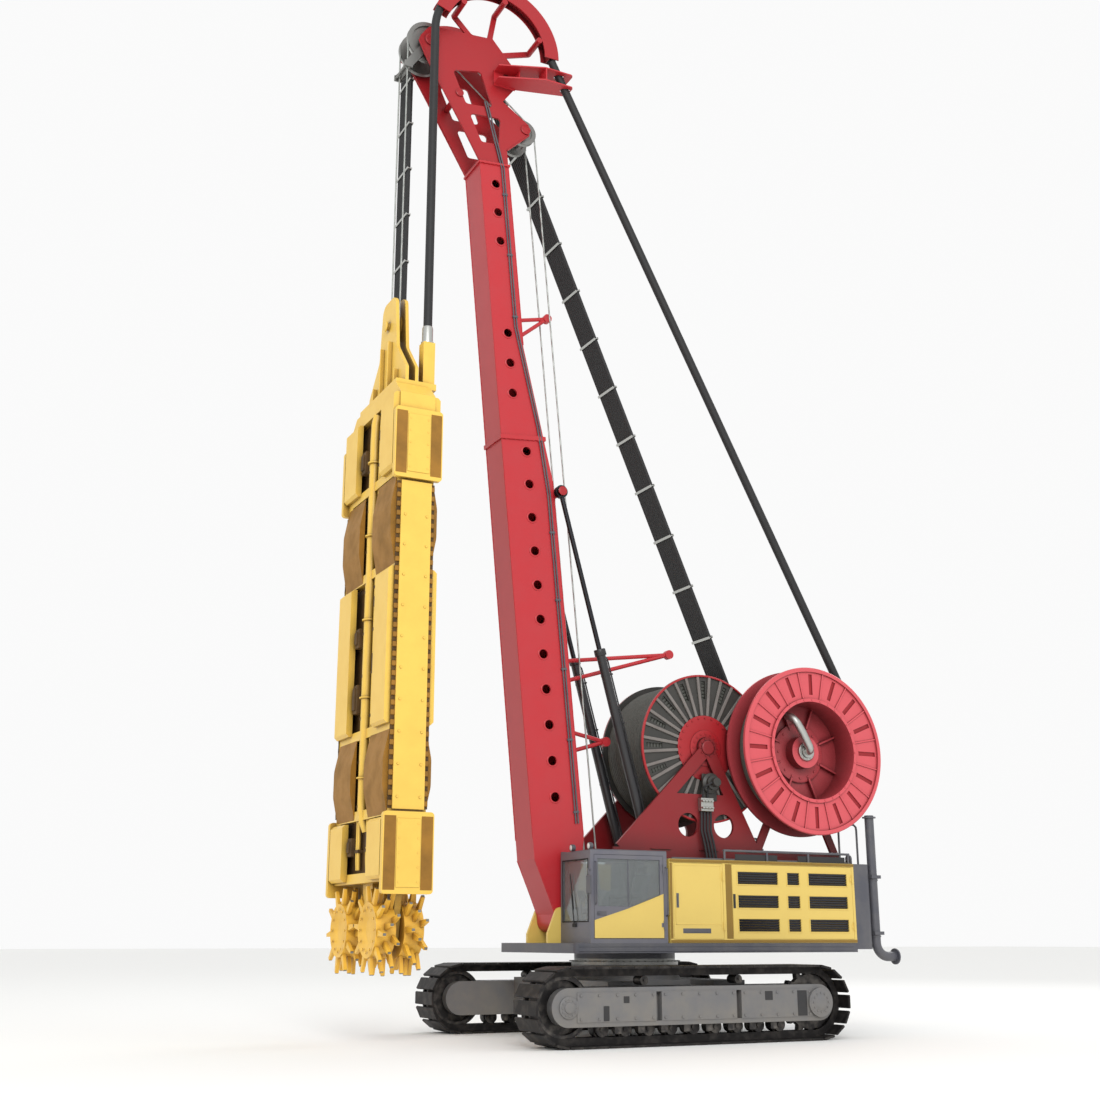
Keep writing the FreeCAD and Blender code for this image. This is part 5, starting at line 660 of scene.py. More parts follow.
def on_boom(shape):
    """Shapes drawn in the boom's frame, whose origin is the foot pin and whose z runs up it."""
    lean = math.radians(5.3)
    return moved(shape, (1.35, 0, 1.95), about_y(math.cos(lean), math.sin(lean)))


def straight(start, end, count):
    """Evenly spaced points from start to end."""
    share = np.linspace(0, 1, count)[:, None]
    return np.array(start, float) * (1 - share) + np.array(end, float) * share


def welds(y, size, *runs):
    """Fillet welds at one y, each from (x, z) to (x, z): a bead with points every 50 mm, whose
    radius swells by a tenth every 150 mm."""
    beads = []
    for x0, z0, x1, z1 in runs:
        rows = max(int(math.hypot(x1 - x0, z1 - z0) / 0.05), 2)
        beads.append(tube_along(straight((x0, y, z0), (x1, y, z1), rows),
                                size * (1 + 0.1 * np.sin(np.arange(rows) * 2.1)), 6))
    return beads


def cap(centre, face, radius, rise, edge, back, steps=40, axis="Y"):
    """A disc over a pin: a flat face, a bevel down to its edge, and a back let into the plate."""
    return turned_ring([(0, rise), (face, rise), (radius, edge), (radius, back), (0, back)],
                       steps, centre, axis)


# Collars round the man holes on both sides.
collar = turned_ring([(0.085, 0), (0.112, 0), (0.112, 0.008), (0.106, 0.012), (0.085, 0.012)], 40)
lower_holes = [(0.005, 0.3495, 2.08 + 0.635 * k) for k in range(11)]
upper_holes = [(0.195, 0.3495, start + 0.6 * k) for start in (9.56, 12.65) for k in range(3)]
for name, holes in (("boom_lower_collars", lower_holes), ("boom_upper_collars", upper_holes)):
    piece(name, on_boom(on_both_sides([copied(collar, holes)])), boom_paint, "boom")

# Long corner welds, and bolts through the flanges between the boom's sections.
seams = welds(0.35, 0.009, (0.500, 1.40, 0.500, 8.64), (-0.490, 1.40, -0.490, 7.88),
              (0.500, 8.74, 0.500, 14.25), (-0.110, 10.55, -0.110, 14.25),
              (-0.205, 0.15, -0.490, 1.35), (0.205, 0.15, 0.500, 1.05))
for top, under, rear in ((8.73, 8.65, -0.345), (14.30, 14.26, -0.08)):
    across = np.arange(rear, 0.50, 0.0955)
    seams += [copied(bolt_head, [(x, 0.366, top) for x in across], 0.7 * facing_up),
              copied(bolt_head, [(x, 0.366, under) for x in across],
                     0.7 * np.diag([1, 1, -1]) @ facing_up)]
piece("boom_welds_and_bolts", on_boom(on_both_sides(seams)), boom_paint, "boom")

# Pin covers at the foot, head, rear sheaves and cylinder tops, each with a ring of bolts, and
# stiffening flanges along the edges of the head's cheeks.
pins = [cap((-0.557, 0.582, 7.631), 0.07, 0.085, 0.02, 0.012, -0.004)]
cheek_y = 0.350
for x, z, radius in ((1.353, 16.746, 0.12), (-0.560, 15.150, 0.10), (0.82, 15.70, 0.08),
                     (-0.21, 16.226, 0.08)):
    pins += [cap((x, cheek_y, z), radius * 0.8, radius, 0.030, 0.022, -0.005),
             bolt_circle((x, cheek_y + 0.024, z), radius * 0.66, 6, 0.7)]
pins += welds(0.352, 0.016, (0.50, 14.32, 0.82, 15.00), (0.82, 15.00, 1.50, 16.42),
              (1.50, 16.42, 1.60, 16.70), (-0.11, 14.62, -0.60, 15.02),
              (-0.60, 15.02, -0.62, 15.26))
piece("boom_head_pins", on_boom(on_both_sides(pins)), head_paint, "boom")

# Two steel oil pipes run up the boom's left side, held by clamps 1.27 m apart.
oil_pipe = tube_along([(x, 0.372, z) for x, z in (
    (-0.40, 1.6), (-0.40, 7.6), (-0.30, 8.9), (0, 10.9), (0, 14.2), (0.25, 15.6))], 0.014, 10)
clamps = blocks(0.004, *((x, 0.350, z - 0.02, x + 0.11, 0.390, z + 0.02)
                         for x, low, high in ((-0.43, 1.8, 7.6), (-0.03, 11.1, 14.1))
                         for z in np.arange(low, high, 1.27)))
piece("boom_oil_pipes", on_boom(joined([copied(oil_pipe, [(0, 0, 0), (0.05, 0, 0)])] + clamps)),
      deck_paint, "boom")

# Bolted caps over the boom's foot pins and the reels' axles, and the stand's foot plates.
caps = [cap((1.35, 0.425, 1.95), 0.075, 0.09, 0.020, 0.012, -0.002),
        bolt_circle((1.35, 0.441, 1.95), 0.055, 6, 0.6)]
piece("foot_pin_caps", on_both_sides(caps), bare_steel, "upperworks")
axle_cap = joined([cap((0, 0.815, 5.0), 0.11, 0.13, 0.034, 0.02, -0.003),
                   bolt_circle((0, 0.815, 5.0), 0.158, 10, 0.9)])
stand_trim = [on_both_sides([moved(axle_cap, (-1.35, 0, 0))]), moved(axle_cap, (-3.3, 0, 0))]
stand_trim += blocks(0.004, *((x - 0.20, 0.72, 3.15, x + 0.20, 0.84, 3.17)
                              for x in (-4.1, -2.3, -1.3, -0.3)))
piece("stand_caps_and_feet", stand_trim, stand_paint, "upperworks")


# -------------------------------- hose reels
# Two welded reels, each a core between slotted plate flanges.  The front one is sprayed charcoal
# with pressed radial pleats, a red rim and a red hub; the rear one is red, with its core open to
# the side.

reel_paint = sprayed_paint("charcoal grey two-pack paint", "#33322f", "#4d4944", 1.0,
                           0.42, 0.25)
finish_with(reel_paint, "front_reel")
pleat_paint = sprayed_paint("rubbed grey two-pack paint", "#7a7470", "#5b5450", 1.0,
                            0.42, 0.5)
# The rear reel's red is a lighter copy, standing in for the light on its face: painted light.
# Ambient occlusion with a long reach darkens its open core: painted shade.
rear_paint = paint_with_painted_shade("red reel paint lightened as painted light", "#d2525a", "#b8565a", "#5c1014",
                          1.6, 0.12)
finish_with(rear_paint, "rear_reel")
front_axle, rear_axle = (-1.35, 0, 5.0), (-3.3, 0, 5.0)
front_face, rear_face = (-1.35, 0.72, 5.0), (-3.3, 1.40, 5.0)


def spokes(count, centre, low, high, edge=0.006):
    """Radial ribs of a reel: a block turned about Y by pi (2 k + 1) / count, round a centre."""
    rib = block_of(low, high, edge)
    return joined([moved(rib, centre, about_y(math.cos(a), math.sin(a)))
                   for a in np.pi * (2 * np.arange(count) + 1) / count])


pleats = spokes(32, front_face, (-0.0275, 0, 0.60), (0.0275, 0.034, 1.33))
piece("front_reel_pleats", on_both_sides([pleats]), pleat_paint, "front_reel")
front_rims = [turned_ring(profile, steps, front_face) for steps, profile in (
    (96, [(1.325, 0), (1.36, 0), (1.36, 0.03), (1.35, 0.038), (1.325, 0.038)]),
    (72, [(0.33, 0), (0.60, 0), (0.60, 0.028), (0.58, 0.036), (0.33, 0.012)]),
    (48, [(0.20, 0), (0.33, 0), (0.33, 0.024), (0.30, 0.032), (0.20, 0.032)]))]
front_rims += [bolt_circle((-1.35, 0.744, 5.0), 0.265, 16),
               bolt_circle((-1.35, 0.750, 5.0), 0.555, 24)]
piece("front_reel_rims", on_both_sides(front_rims), head_paint, "front_reel")

# Rear reel: rolled rims, ribs between the slots, the swivel's disc in the core and its elbow.
rear_rim = joined([turned_ring([(1.47, 0), (1.55, 0), (1.55, 0.02), (1.535, 0.036), (1.47, 0.036)],
                               96),
                   turned_ring(band(0.905, 0.965, 0, 0.034), 72),
                   bolt_circle((0, 0.028, 0), 0.935, 32, 0.9)])
rear_parts = [moved(rear_rim, rear_face),
              moved(rear_rim, (-3.3, 0.85, 5.0), np.diag([1, -1, 1])),
              spokes(16, rear_face, (-0.015, 0, 0.965), (0.015, 0.022, 1.47)),
              spokes(8, rear_axle, (-0.02, 0.882, 0.50), (0.02, 0.96, 0.905), 0.005),
              turned_ring([(0.30, 0.885), (0.52, 0.885), (0.55, 0.895), (0.55, 0.925),
                           (0.52, 0.935), (0.30, 0.935)], 64, rear_axle),
              bolt_circle((-3.3, 0.933, 5.0), 0.47, 16)]
piece("rear_reel_rims", rear_parts, rear_paint, "rear_reel")
# A thin dark red ring behind the flange's slots shows through them as painted shade in the slots.
slot_shade_red = sprayed_paint("dark red painted slot shade", "#9a1c24", "#7a2226", 0.8, 0.6, 0.3)
piece("rear_reel_slot_shade", turned_ring(band(0.95, 1.49, 1.371, 1.376), 96, rear_axle), slot_shade_red,
      "rear_reel")
swivel_steel = turned_steel("zinc plated steel", "#b9bab6", 0.42)
elbow_path = [(-3.3, 1.14, 5.0), (-3.3, 1.24, 5.0), (-3.295, 1.285, 5.012), (-3.28, 1.31, 5.04),
              (-3.26, 1.32, 5.08), (-3.12, 1.32, 5.34), (-3.02, 1.315, 5.50), (-2.98, 1.29, 5.56),
              (-2.95, 1.22, 5.62), (-2.93, 1.12, 5.66)]
swivel = [tube_along(elbow_path, 0.075, 20, (1, 0.2, 0)),
          turned_ring([(0, 1.15), (0.16, 1.15), (0.17, 1.16), (0.17, 1.185), (0.16, 1.195),
                       (0, 1.195)], 32, rear_axle),
          turned_ring(band(0, 0.115, 1.21, 1.235), 32, rear_axle),
          bolt_circle((-3.3, 1.193, 5.0), 0.14, 12, 0.7)]
piece("rear_reel_swivel", swivel, swivel_steel, "rear_reel")

# Hydraulic motors and gear cases drive both reels from the stand.
drives = [turned_ring([(0, 0.842), (0.17, 0.842), (0.18, 0.855), (0.18, 0.90), (0.13, 0.93),
                       (0.13, 0.99), (0.08, 1.0), (0.08, 1.10), (0.07, 1.11), (0, 1.11)], 32,
                      (-1.35, 0, 4.35)),
          block_of((-1.50, 0.80, 4.04), (-1.20, 0.845, 4.52), 0.01)]
piece("reel_motors", on_both_sides(drives), reel_paint, "upperworks")

# A valve bank on each web feeds the motors: a plated block with spool caps, and its hoses.
bank = [block_of((-1.37, 0.814, 3.84), (-1.11, 0.925, 4.08), 0.006)]
bank += [turned_ring([(0, 0.92), (0.022, 0.92), (0.022, 0.975), (0.016, 0.982), (0, 0.982)], 20,
                     (x, 0, z))
         for x in (-1.325, -1.26, -1.195, -1.13) for z in (3.90, 4.02)]
piece("reel_valve_banks", on_both_sides(bank), swivel_steel, "upperworks")
down = tube_along([(0, 0.86, 3.85), (0, 0.865, 3.74), (0.02, 0.88, 3.50), (-0.03, 0.90, 3.24),
                   (-0.05, 0.92, 3.05), (-0.05, 0.92, 2.95)], 0.019, 10)
feeds = [copied(down, [(-1.34 + 0.065 * k, 0, 0) for k in range(4)])]
for x, end_x in ((-1.28, -1.33), (-1.18, -1.27)):
    feeds.append(tube_along([(x, 0.87, 4.07), (x, 0.875, 4.16), (x + 0.02, 0.93, 4.25),
                             (x - 0.02, 1.01, 4.30), (end_x, 1.045, 4.345)], 0.017, 10))
piece("reel_valve_hoses", on_both_sides(feeds), moulded, "upperworks")


# -------------------------------- hoses and ropes
# Steel-wire reinforced rubber hose with a matt black cover, clamped side by side into a band, and
# galvanised six-strand wire rope that runs from the winch over the sheaves to the cutter.

def rubber_cover(name, tone, bloom):
    """Extruded rubber: matt, with a grey bloom in 60 mm patches."""
    material, tree, shader, place = new_material(name)
    coloured(tree, shader, noise(tree, place, 0.06, 4), tone, bloom)
    shader.inputs["Roughness"].default_value = 0.62
    return material


hose_cover = rubber_cover("black hose rubber", "#141415", "#262627")
wound_cover = rubber_cover("dusty black hose rubber", "#383a36", "#5c5c56")


def wound_turns(centre, low_y, high_y, inner, outer, radius, sides):
    """Hose wound on a reel: rings of hose side by side, each layer a diameter further out."""
    lanes = int((high_y - low_y) / (2 * radius))
    layers = int((outer - inner) / (2 * radius) + 0.3)
    pitch = (high_y - low_y) / lanes
    around = np.linspace(0, 2 * np.pi, sides, endpoint=False)
    section = np.stack([radius * np.cos(around), 0.98 * radius * np.sin(around)], 1)
    return joined([turned_ring(section + (outer - radius * (2 * layer + 1),
                                          low_y + pitch * (lane + 0.5)), 64, centre)
                   for layer in range(layers)[::-1] for lane in range(lanes)])


# The feed hoses, 65 mm across, run side by side as one band; the slurry hose is 160 mm across.
feed_radius, slurry_radius = 0.0325, 0.08
front_layer, rear_layer = 1.27, 1.33  # the radius of the outer layer
piece("front_reel_turns",
      wound_turns(front_axle, -0.69, 0.69, 0.75, front_layer, feed_radius, 8), wound_cover,
      "front_reel", replaced="front_reel_hose")
piece("rear_reel_turns", wound_turns(rear_axle, 0.88, 1.37, 0.93, rear_layer, slurry_radius, 12),
      wound_cover, "rear_reel", replaced="rear_reel_hose")


def tangent_touch(axle, radius, point_x, point_z):
    """Where a line from a point touches a circle on its rear side, in the XZ plane."""
    dx, dz = point_x - axle[0], point_z - axle[2]
    angle = math.atan2(dz, dx) + math.acos(radius / math.hypot(dx, dz))
    return axle[0] + radius * math.cos(angle), axle[2] + radius * math.sin(angle)


# Each hose leaves its reel, spans to its arc on the boom's head, turns over it and hangs down to
# the cutter.
lanes = np.linspace(-0.264, 0.264, 9)
arc_z, feed_y, slurry_y = 18.4998, -0.75, 0.75
feed_arc, feed_bend = np.array([3.360, feed_y, arc_z]), 0.95
slurry_arc, slurry_bend = np.array([3.060, slurry_y, arc_z]), 1.25
front_x = feed_arc[0] + feed_bend
feed_back, slurry_back = feed_arc[0] - feed_bend, slurry_arc[0] - slurry_bend
feed_x, feed_z = tangent_touch(front_axle, front_layer + 0.05, feed_back, arc_z)
slurry_x, slurry_z = tangent_touch(rear_axle, rear_layer + slurry_radius, slurry_back, arc_z)


def hoses(feed_path, slurry_path):
    """The nine feed hoses beside each other along one path, and the slurry hose along another."""
    return ([tube_along(feed_path + (0, lane, 0), feed_radius, 10) for lane in lanes]
            + [tube_along(slurry_path, slurry_radius, 16)])


wound_y = -0.02
spans = hoses(straight((feed_x, wound_y, feed_z), (feed_back, feed_y, arc_z), 40),
              straight((slurry_x, 1.125, slurry_z), (slurry_back, slurry_y, arc_z), 80))
span_ends = ("upperworks", "boom", (feed_x, 0, feed_z), (feed_back, 0, arc_z))
piece("hose_span_tubes", spans, hose_cover, span_ends, replaced="hose_spans")

# Bolted bars clamp the feed hoses side by side every metre of their run.
clamp = joined(blocks(0.003, (0.032, -0.312, -0.025, 0.048, 0.312, 0.025),
                      (-0.048, -0.312, -0.025, -0.032, 0.312, 0.025),
                      (-0.05, -0.313, -0.008, 0.05, -0.297, 0.008),
                      (-0.05, 0.297, -0.008, 0.05, 0.313, 0.008)))
run = np.array([feed_back - feed_x, feed_y - wound_y, arc_z - feed_z])
tilt = math.atan2(run[0], run[2])
span_spots = [np.array([feed_x, wound_y, feed_z]) + run * share
              for share in np.linspace(0.06, 0.97, 13)]
piece("hose_span_clamps", copied(clamp, span_spots, about_y(math.cos(tilt), math.sin(tilt))),
      swivel_steel, span_ends)

bow = np.linspace(np.pi, 0, 49)
half_ring = np.stack([np.cos(bow), np.zeros(49), np.sin(bow)], 1)
piece("guide_hose_tubes",
      hoses(half_ring * feed_bend + feed_arc, half_ring * slurry_bend + slurry_arc), hose_cover,
      "boom", replaced="guide_hoses")

feed_end, slurry_end = 11.45, 11.90
falls = hoses(straight((front_x, feed_y, arc_z), (front_x, feed_y, feed_end), 60),
              straight((front_x, slurry_y, arc_z), (front_x, slurry_y, slurry_end), 60))
fall_ends = ("hanger", "cutter", (front_x, 0, arc_z), (front_x, 0, 12.0))
piece("cutter_hose_tubes", falls, hose_cover, fall_ends, replaced="cutter_hoses")
piece("cutter_hose_clamps",
      copied(clamp, [(front_x, feed_y, z) for z in np.arange(12.1, 18.3, 1.0)]), swivel_steel,
      fall_ends)

# Swaged steel ends where the hoses meet the cutter's posts, with a flange under each.
ends = [turned_ring([(0.070, 0), (0.098, 0), (0.098, 0.30), (0.088, 0.33), (0.070, 0.33)], 28,
                    (front_x, slurry_y, slurry_end), "Z"),
        turned_ring(band(0.02, 0.115, -0.028, 0), 28, (front_x, slurry_y, 11.93), "Z"),
        copied(turned_ring(band(0.020, 0.0328, 0, 0.18), 20, axis="Z"),
               [(front_x, feed_y + lane, feed_end) for lane in lanes]),
        block_of((front_x - 0.08, -1.07, 11.452), (front_x + 0.08, -0.43, 11.478))]
piece("hose_end_fittings", ends, swivel_steel, "cutter")

rope_wire = turned_steel("galvanised wire rope", "#a9aca8", 0.5)
rope_sides = (0.216, -0.216)


def laid_rope(start, end):
    """A six-strand rope of 32 mm with a lay of 0.26 m, from (x, z) to (x, z) on both sides:
    r(a, s) = 0.016 (0.88 + 0.12 |cos(3 (a - 2 pi s / 0.26))|)."""
    ropes = []
    for y in rope_sides:
        ends = np.array([[start[0], y, start[1]], [end[0], y, end[1]]])
        run = float(np.linalg.norm(ends[1] - ends[0]))
        rows = int(run / 0.05)
        path = straight(*ends, rows)
        points, faces = tube_along(path, 0.016)
        grid = points.reshape(rows + 2, 12, 3)
        angle = np.linspace(0, 2 * np.pi, 12, endpoint=False)
        twist = 2 * np.pi * np.linspace(0, run, rows) / 0.26
        lobes = 0.88 + 0.12 * np.abs(np.cos(3 * (angle[None, :] - twist[:, None])))
        grid[1:-1] = path[:, None, :] + (grid[1:-1] - path[:, None, :]) * lobes[:, :, None]
        ropes.append((grid.reshape(-1, 3), faces))
    return joined(ropes)


fall_x, pulley_z = 4.6604, 12.45
piece("hoist_rope_falls", laid_rope((fall_x, 18.4994), (fall_x, pulley_z)), rope_wire,
      ("hanger", "cutter", (fall_x, 0, 18.4), (fall_x, 0, 12.5)), replaced="hoist_ropes")
piece("hoist_rope_runs", laid_rope((0.5865, 2.15), (1.9405, 17.087)), rope_wire,
      ("upperworks", "boom", (0.6, 0, 2.4), (1.94, 0, 17.0)), replaced="hoist_rope_span")


def bent_rope(centre, radius, start, stop, axis_x=False):
    """A rope along an arc about Y, or about X: centre + radius (cos a, sin a)."""
    angle = np.radians(np.linspace(start, stop, max(int(abs(stop - start) / 4), 8)))
    flat = np.stack([radius * np.cos(angle), np.zeros(len(angle)), radius * np.sin(angle)], 1)
    if axis_x:
        flat = flat[:, [1, 0, 2]]
    return tube_along(flat + np.array(centre, float), 0.0155, 10,
                      (1, 0, 0) if axis_x else (0, 1, 0))


# Rope lies in the sheave grooves between its runs, round the cutter's pulley and on the drum.
hoist_axle, hoist_reach = np.array([4.2441, 0, 18.4994]), 0.4163
rear_sheave, rear_reach = np.array([2.1918, 0, 17.0870]), 0.2513
link = hoist_axle - rear_sheave
leave = math.degrees(math.atan2(link[2], link[0])) + 90 + math.degrees(
    math.asin((hoist_reach - rear_reach) / math.hypot(link[0], link[2])))
aim = np.array([math.cos(math.radians(leave)), 0, math.sin(math.radians(leave))])
reeved = [bent_rope(centre + (0, y, 0), radius, start, leave) for y in rope_sides
          for centre, radius, start in ((hoist_axle, hoist_reach, 0),
                                        (rear_sheave, rear_reach, 180))]
reeved.append(laid_rope((rear_sheave + rear_reach * aim)[[0, 2]],
                        (hoist_axle + hoist_reach * aim)[[0, 2]]))
piece("sheave_rope", reeved, rope_wire, "boom")
piece("pulley_rope", bent_rope((fall_x, 0, pulley_z), rope_sides[0], 180, 360, True), rope_wire,
      "cutter")

# Rope wound in one layer on the winch drum: 15 turns of 34 mm pitch between the flanges.
turns = 15
coil = np.linspace(0, 2 * np.pi * turns, turns * 28)
drum_rope = np.stack([0.3 + 0.2865 * np.cos(coil), np.linspace(-0.255, 0.255, len(coil)),
                      2.15 + 0.2865 * np.sin(coil)], 1)
piece("winch_rope", tube_along(drum_rope, 0.0165, 10), rope_wire, "winch_drum")
motors = [turned_ring([(0, 0.365), (0.14, 0.365), (0.15, 0.375), (0.15, 0.43), (0.09, 0.45),
                       (0.09, 0.56), (0.08, 0.57), (0, 0.57)], 32, (0.3, 0, 2.15)),
          bolt_circle((0.3, 0.43, 2.15), 0.12, 10)]
piece("winch_motors", on_both_sides(motors), deck_paint, "upperworks")


# -------------------------------- luffing cylinders
# Honed steel barrels sprayed black, with a screwed gland at the upper end of each and a steel
# feed pipe strapped along it.

finish_with(black_paint, "luff_barrels")
slant = math.atan2(0.260258, 0.965539)
straps = (0.9, 1.9, 2.9, 3.8)
fittings = [turned_ring(profile, 36, axis="Z") for profile in (
    [(0.084, 4.18), (0.102, 4.18), (0.108, 4.19), (0.108, 4.29), (0.102, 4.30), (0.050, 4.30),
     (0.050, 4.28), (0.084, 4.28)],
    band(0.084, 0.098, 0.20, 0.26), *(band(0.084, 0.090, z, z + 0.03) for z in straps))]
fittings += blocks(0.004, *((-0.14, -0.03, z, -0.08, 0.03, z + 0.03) for z in straps))
fittings.append(tube_along([(x, 0, z) for x, z in (
    (-0.06, 0.34), (-0.115, 0.36), (-0.118, 0.42), (-0.118, 4.0), (-0.115, 4.10), (-0.09, 4.14))],
                           0.014, 10))
piece("barrel_fittings", copied(joined(fittings), [(-0.4, 0.5, 2.55), (-0.4, -0.5, 2.55)],
                                about_y(math.cos(slant), math.sin(slant))), black_paint,
      "luff_barrels")


# -------------------------------- pipes and rails at the rear
# Seamless steel pipe with a flange on top and a bolted clamp at each bracket, and a bent tube
# rail beside it, in the deck's dark grey.

rear_pipe = [turned_ring(profile, 36, (-4.5, 1.39, 0), "Z") for profile in (
    band(0.0835, 0.125, 3.80, 3.825), *(band(0.0835, 0.094, z, z + 0.03) for z in (1.66, 2.66)))]
rear_pipe.append(tube_along([(x, 1.05, z) for x, z in (
    (-4.46, 2.95), (-4.46, 3.60), (-4.45, 3.66), (-4.40, 3.70), (-4.10, 3.70), (-4.05, 3.66),
    (-4.04, 3.60), (-4.04, 2.95))], 0.02))
piece("rear_pipe_and_rail_trim", rear_pipe, deck_paint, "upperworks")


# -------------------------------- cutter
# A welded box frame with guide boxes, steering flaps and two toothed cutting wheels, all sprayed
# the same warm yellow as the machine houses; the darker yellows and browns on it are painted shade.

# Ambient occlusion turns the cutter's yellow brown where other steel stands near: painted shade in
# its recesses.
cutter_paint = paint_with_painted_shade("warm yellow cutter paint", "#ecc354", "#c89232",
                            "#6a4a16", 0.35, 0.15)
finish_with(cutter_paint, "cutter_frame", "cutter_guides", "cutter_yoke", "mud_pump")
# The wheels' brown patches stand in for the shade on their far parts, and ambient occlusion browns
# their hollows: both painted shade.
wheel_paint = paint_with_painted_shade("yellow wheel paint with painted shade", "#efbd44", "#b98530",
                           "#7a5018", 0.20, 0.30)
finish_with(wheel_paint, "cutter_wheel_left", "cutter_wheel_right")
# A dark brownish yellow on the steering flaps, the combs and the guide strips stands in for their
# shade: painted shade.
shade_yellow_paint = sprayed_paint("dark yellow cutter paint as painted shade", "#9a6a10", "#60440f",
                             0.8, 0.55, 0.5)
finish_with(shade_yellow_paint, "steering_flaps")
# A dark brown that stands in for the shade in the cutter's sunk channel and beside its combs:
# painted shade.
shade_brown_paint = sprayed_paint("dark brown painted shade", "#5a3f14", "#2a1d0c",
                             0.8, 0.65, 0.7)
cutter_x = 4.66


def on_both_faces(shapes):
    """Shapes drawn on the cutter's front face, x from its middle, and mirrored to the rear one:
    p' = (cutter_x + x, y, z) and (cutter_x - x, y, z)."""
    return joined([moved(shape, (cutter_x, 0, 0), np.diag([face, 1, 1]))
                   for face in (1, -1) for shape in shapes])


# Both wide faces: oil and slurry pipes run up the sunk channel, with clamps and valve blocks.
sunk = 0.212
channel = [tube_along([(sunk + x, y, z) for x, z in (
    (0.05, 2.72), (0.06, 2.9), (0.06, 10.3), (0.05, 10.6))], radius)
           for y, radius in ((-0.26, 0.030), (-0.18, 0.030), (0.20, 0.022), (0.26, 0.022),
                             (0.32, 0.022))]
channel.append(tube_along([(sunk + x, 0.02, z) for x, z in (
    (0.0, 3.35), (0.06, 3.5), (0.09, 3.7), (0.09, 10.5), (0.06, 10.66))], 0.085, 20))
channel += [turned_ring(band(0.08, 0.125, z, z + 0.022), 28, (sunk + 0.09, 0.02, 0), "Z")
            for z in (4.2, 5.55, 6.9, 8.4, 9.75)]
piece("cutter_channel_pipes", on_both_faces(channel), cutter_paint, "cutter")
clips = blocks(0.004, *((sunk - 0.004, low, z, sunk + out, high, z + 0.05)
                        for z in np.arange(3.0, 10.4, 0.74)
                        for low, high, out in ((-0.31, -0.13, 0.095), (0.16, 0.36, 0.088))))
for y, z, high in ((-0.46, 5.35, 0.5), (-0.46, 6.5, 0.34), (0.48, 5.9, 0.42), (0.48, 7.0, 0.3),
                   (-0.46, 9.7, 0.42), (0.48, 10.0, 0.3), (-0.46, 2.95, 0.3), (0.48, 3.0, 0.36)):
    clips += blocks(0.01, (sunk - 0.004, y - 0.10, z, sunk + 0.14, y + 0.10, z + high),
                    (sunk + 0.13, y - 0.06, z + 0.06, sunk + 0.17, y + 0.06, z + high - 0.06))
# The clamps and valve blocks in the sunk channel are dark brown, painted shade.
piece("cutter_valve_blocks", on_both_faces(clips), shade_brown_paint, "cutter")

# The sunk plates between the cross members are covered by thin dark brown sheets, painted shade.
channel_shade = blocks(0.001, *((0.2105, -1.055, low, 0.2145, 1.055, high) for low, high in (
    (2.67, 3.51), (3.69, 4.86), (5.04, 7.61), (7.79, 9.21), (9.39, 10.68))))
piece("cutter_channel_floor", on_both_faces(channel_shade), shade_brown_paint, "cutter")

# Toothed strips beside the smooth narrow sides: one block to each 160 mm, in dark yellow over a
# dark brown strip; both colours are painted shade.
teeth = blocks(0.008, *((0.235, 1.2905, z, 0.335, 1.325, z + 0.085)
                        for z in np.arange(3.66, 9.0, 0.16)))
bed = blocks(0.001, (0.231, 1.2903, 3.62, 0.339, 1.298, 9.07))
piece("cutter_combs", on_both_sides([on_both_faces(teeth)]), shade_yellow_paint, "cutter")
piece("cutter_comb_beds", on_both_sides([on_both_faces(bed)]), shade_brown_paint, "cutter")

# Guide boxes: a proud wear plate with countersunk bolts between two side strips in dark yellow,
# painted shade.
boxes = ((2.36, 3.50), (9.19, 10.31))
plates = blocks(0.005, *((4.46, 1.3895, low + 0.04, 4.86, 1.402, high - 0.04)
                         for low, high in boxes))
plates.append(copied(bolt_head, [(x, 1.400, z) for low, high in boxes for x in (4.50, 4.82)
                                 for z in np.linspace(low + 0.12, high - 0.12, 5)],
                     np.diag([0.8, 0.5, 0.8])))
piece("cutter_wear_plates", on_both_sides(plates), cutter_paint, "cutter")
strips = blocks(0.001, *((start, 1.3893, low, start + 0.195, 1.393, high)
                         for low, high in boxes for start in (4.25, 4.875)))
piece("cutter_guide_strips", on_both_sides(strips), shade_yellow_paint, "cutter")

# Long panels: bolts in pairs down both edges.
panel_spots = [(cutter_x + out, 1.3395, z) for out in (-0.195, 0.195)
               for z in np.arange(3.8, 9.0, 0.52)]
piece("cutter_panel_bolts",
      on_both_sides([copied(bolt_head, panel_spots, np.diag([1, 0.9, 1]))]), cutter_paint,
      "cutter")

# Yoke: pin caps, stiffening ribs on both plates and pads at the foot of each.
yoke = [cap((0.18, 0, 12.45), 0.085, 0.10, 0.02, 0.010, -0.004, 36, "X")]
yoke += blocks(0.006, *((0.118, y - 0.015, 11.07, 0.20, y + 0.015, top)
                        for y, top in ((-0.55, 11.41), (-0.20, 12.07), (0.20, 12.07),
                                       (0.55, 11.41))),
               *((0.21, y - 0.05, 11.068, 0.26, y + 0.05, 11.09) for y in (-0.85, 0.85)))
piece("yoke_trim", on_both_faces(yoke), cutter_paint, "cutter")

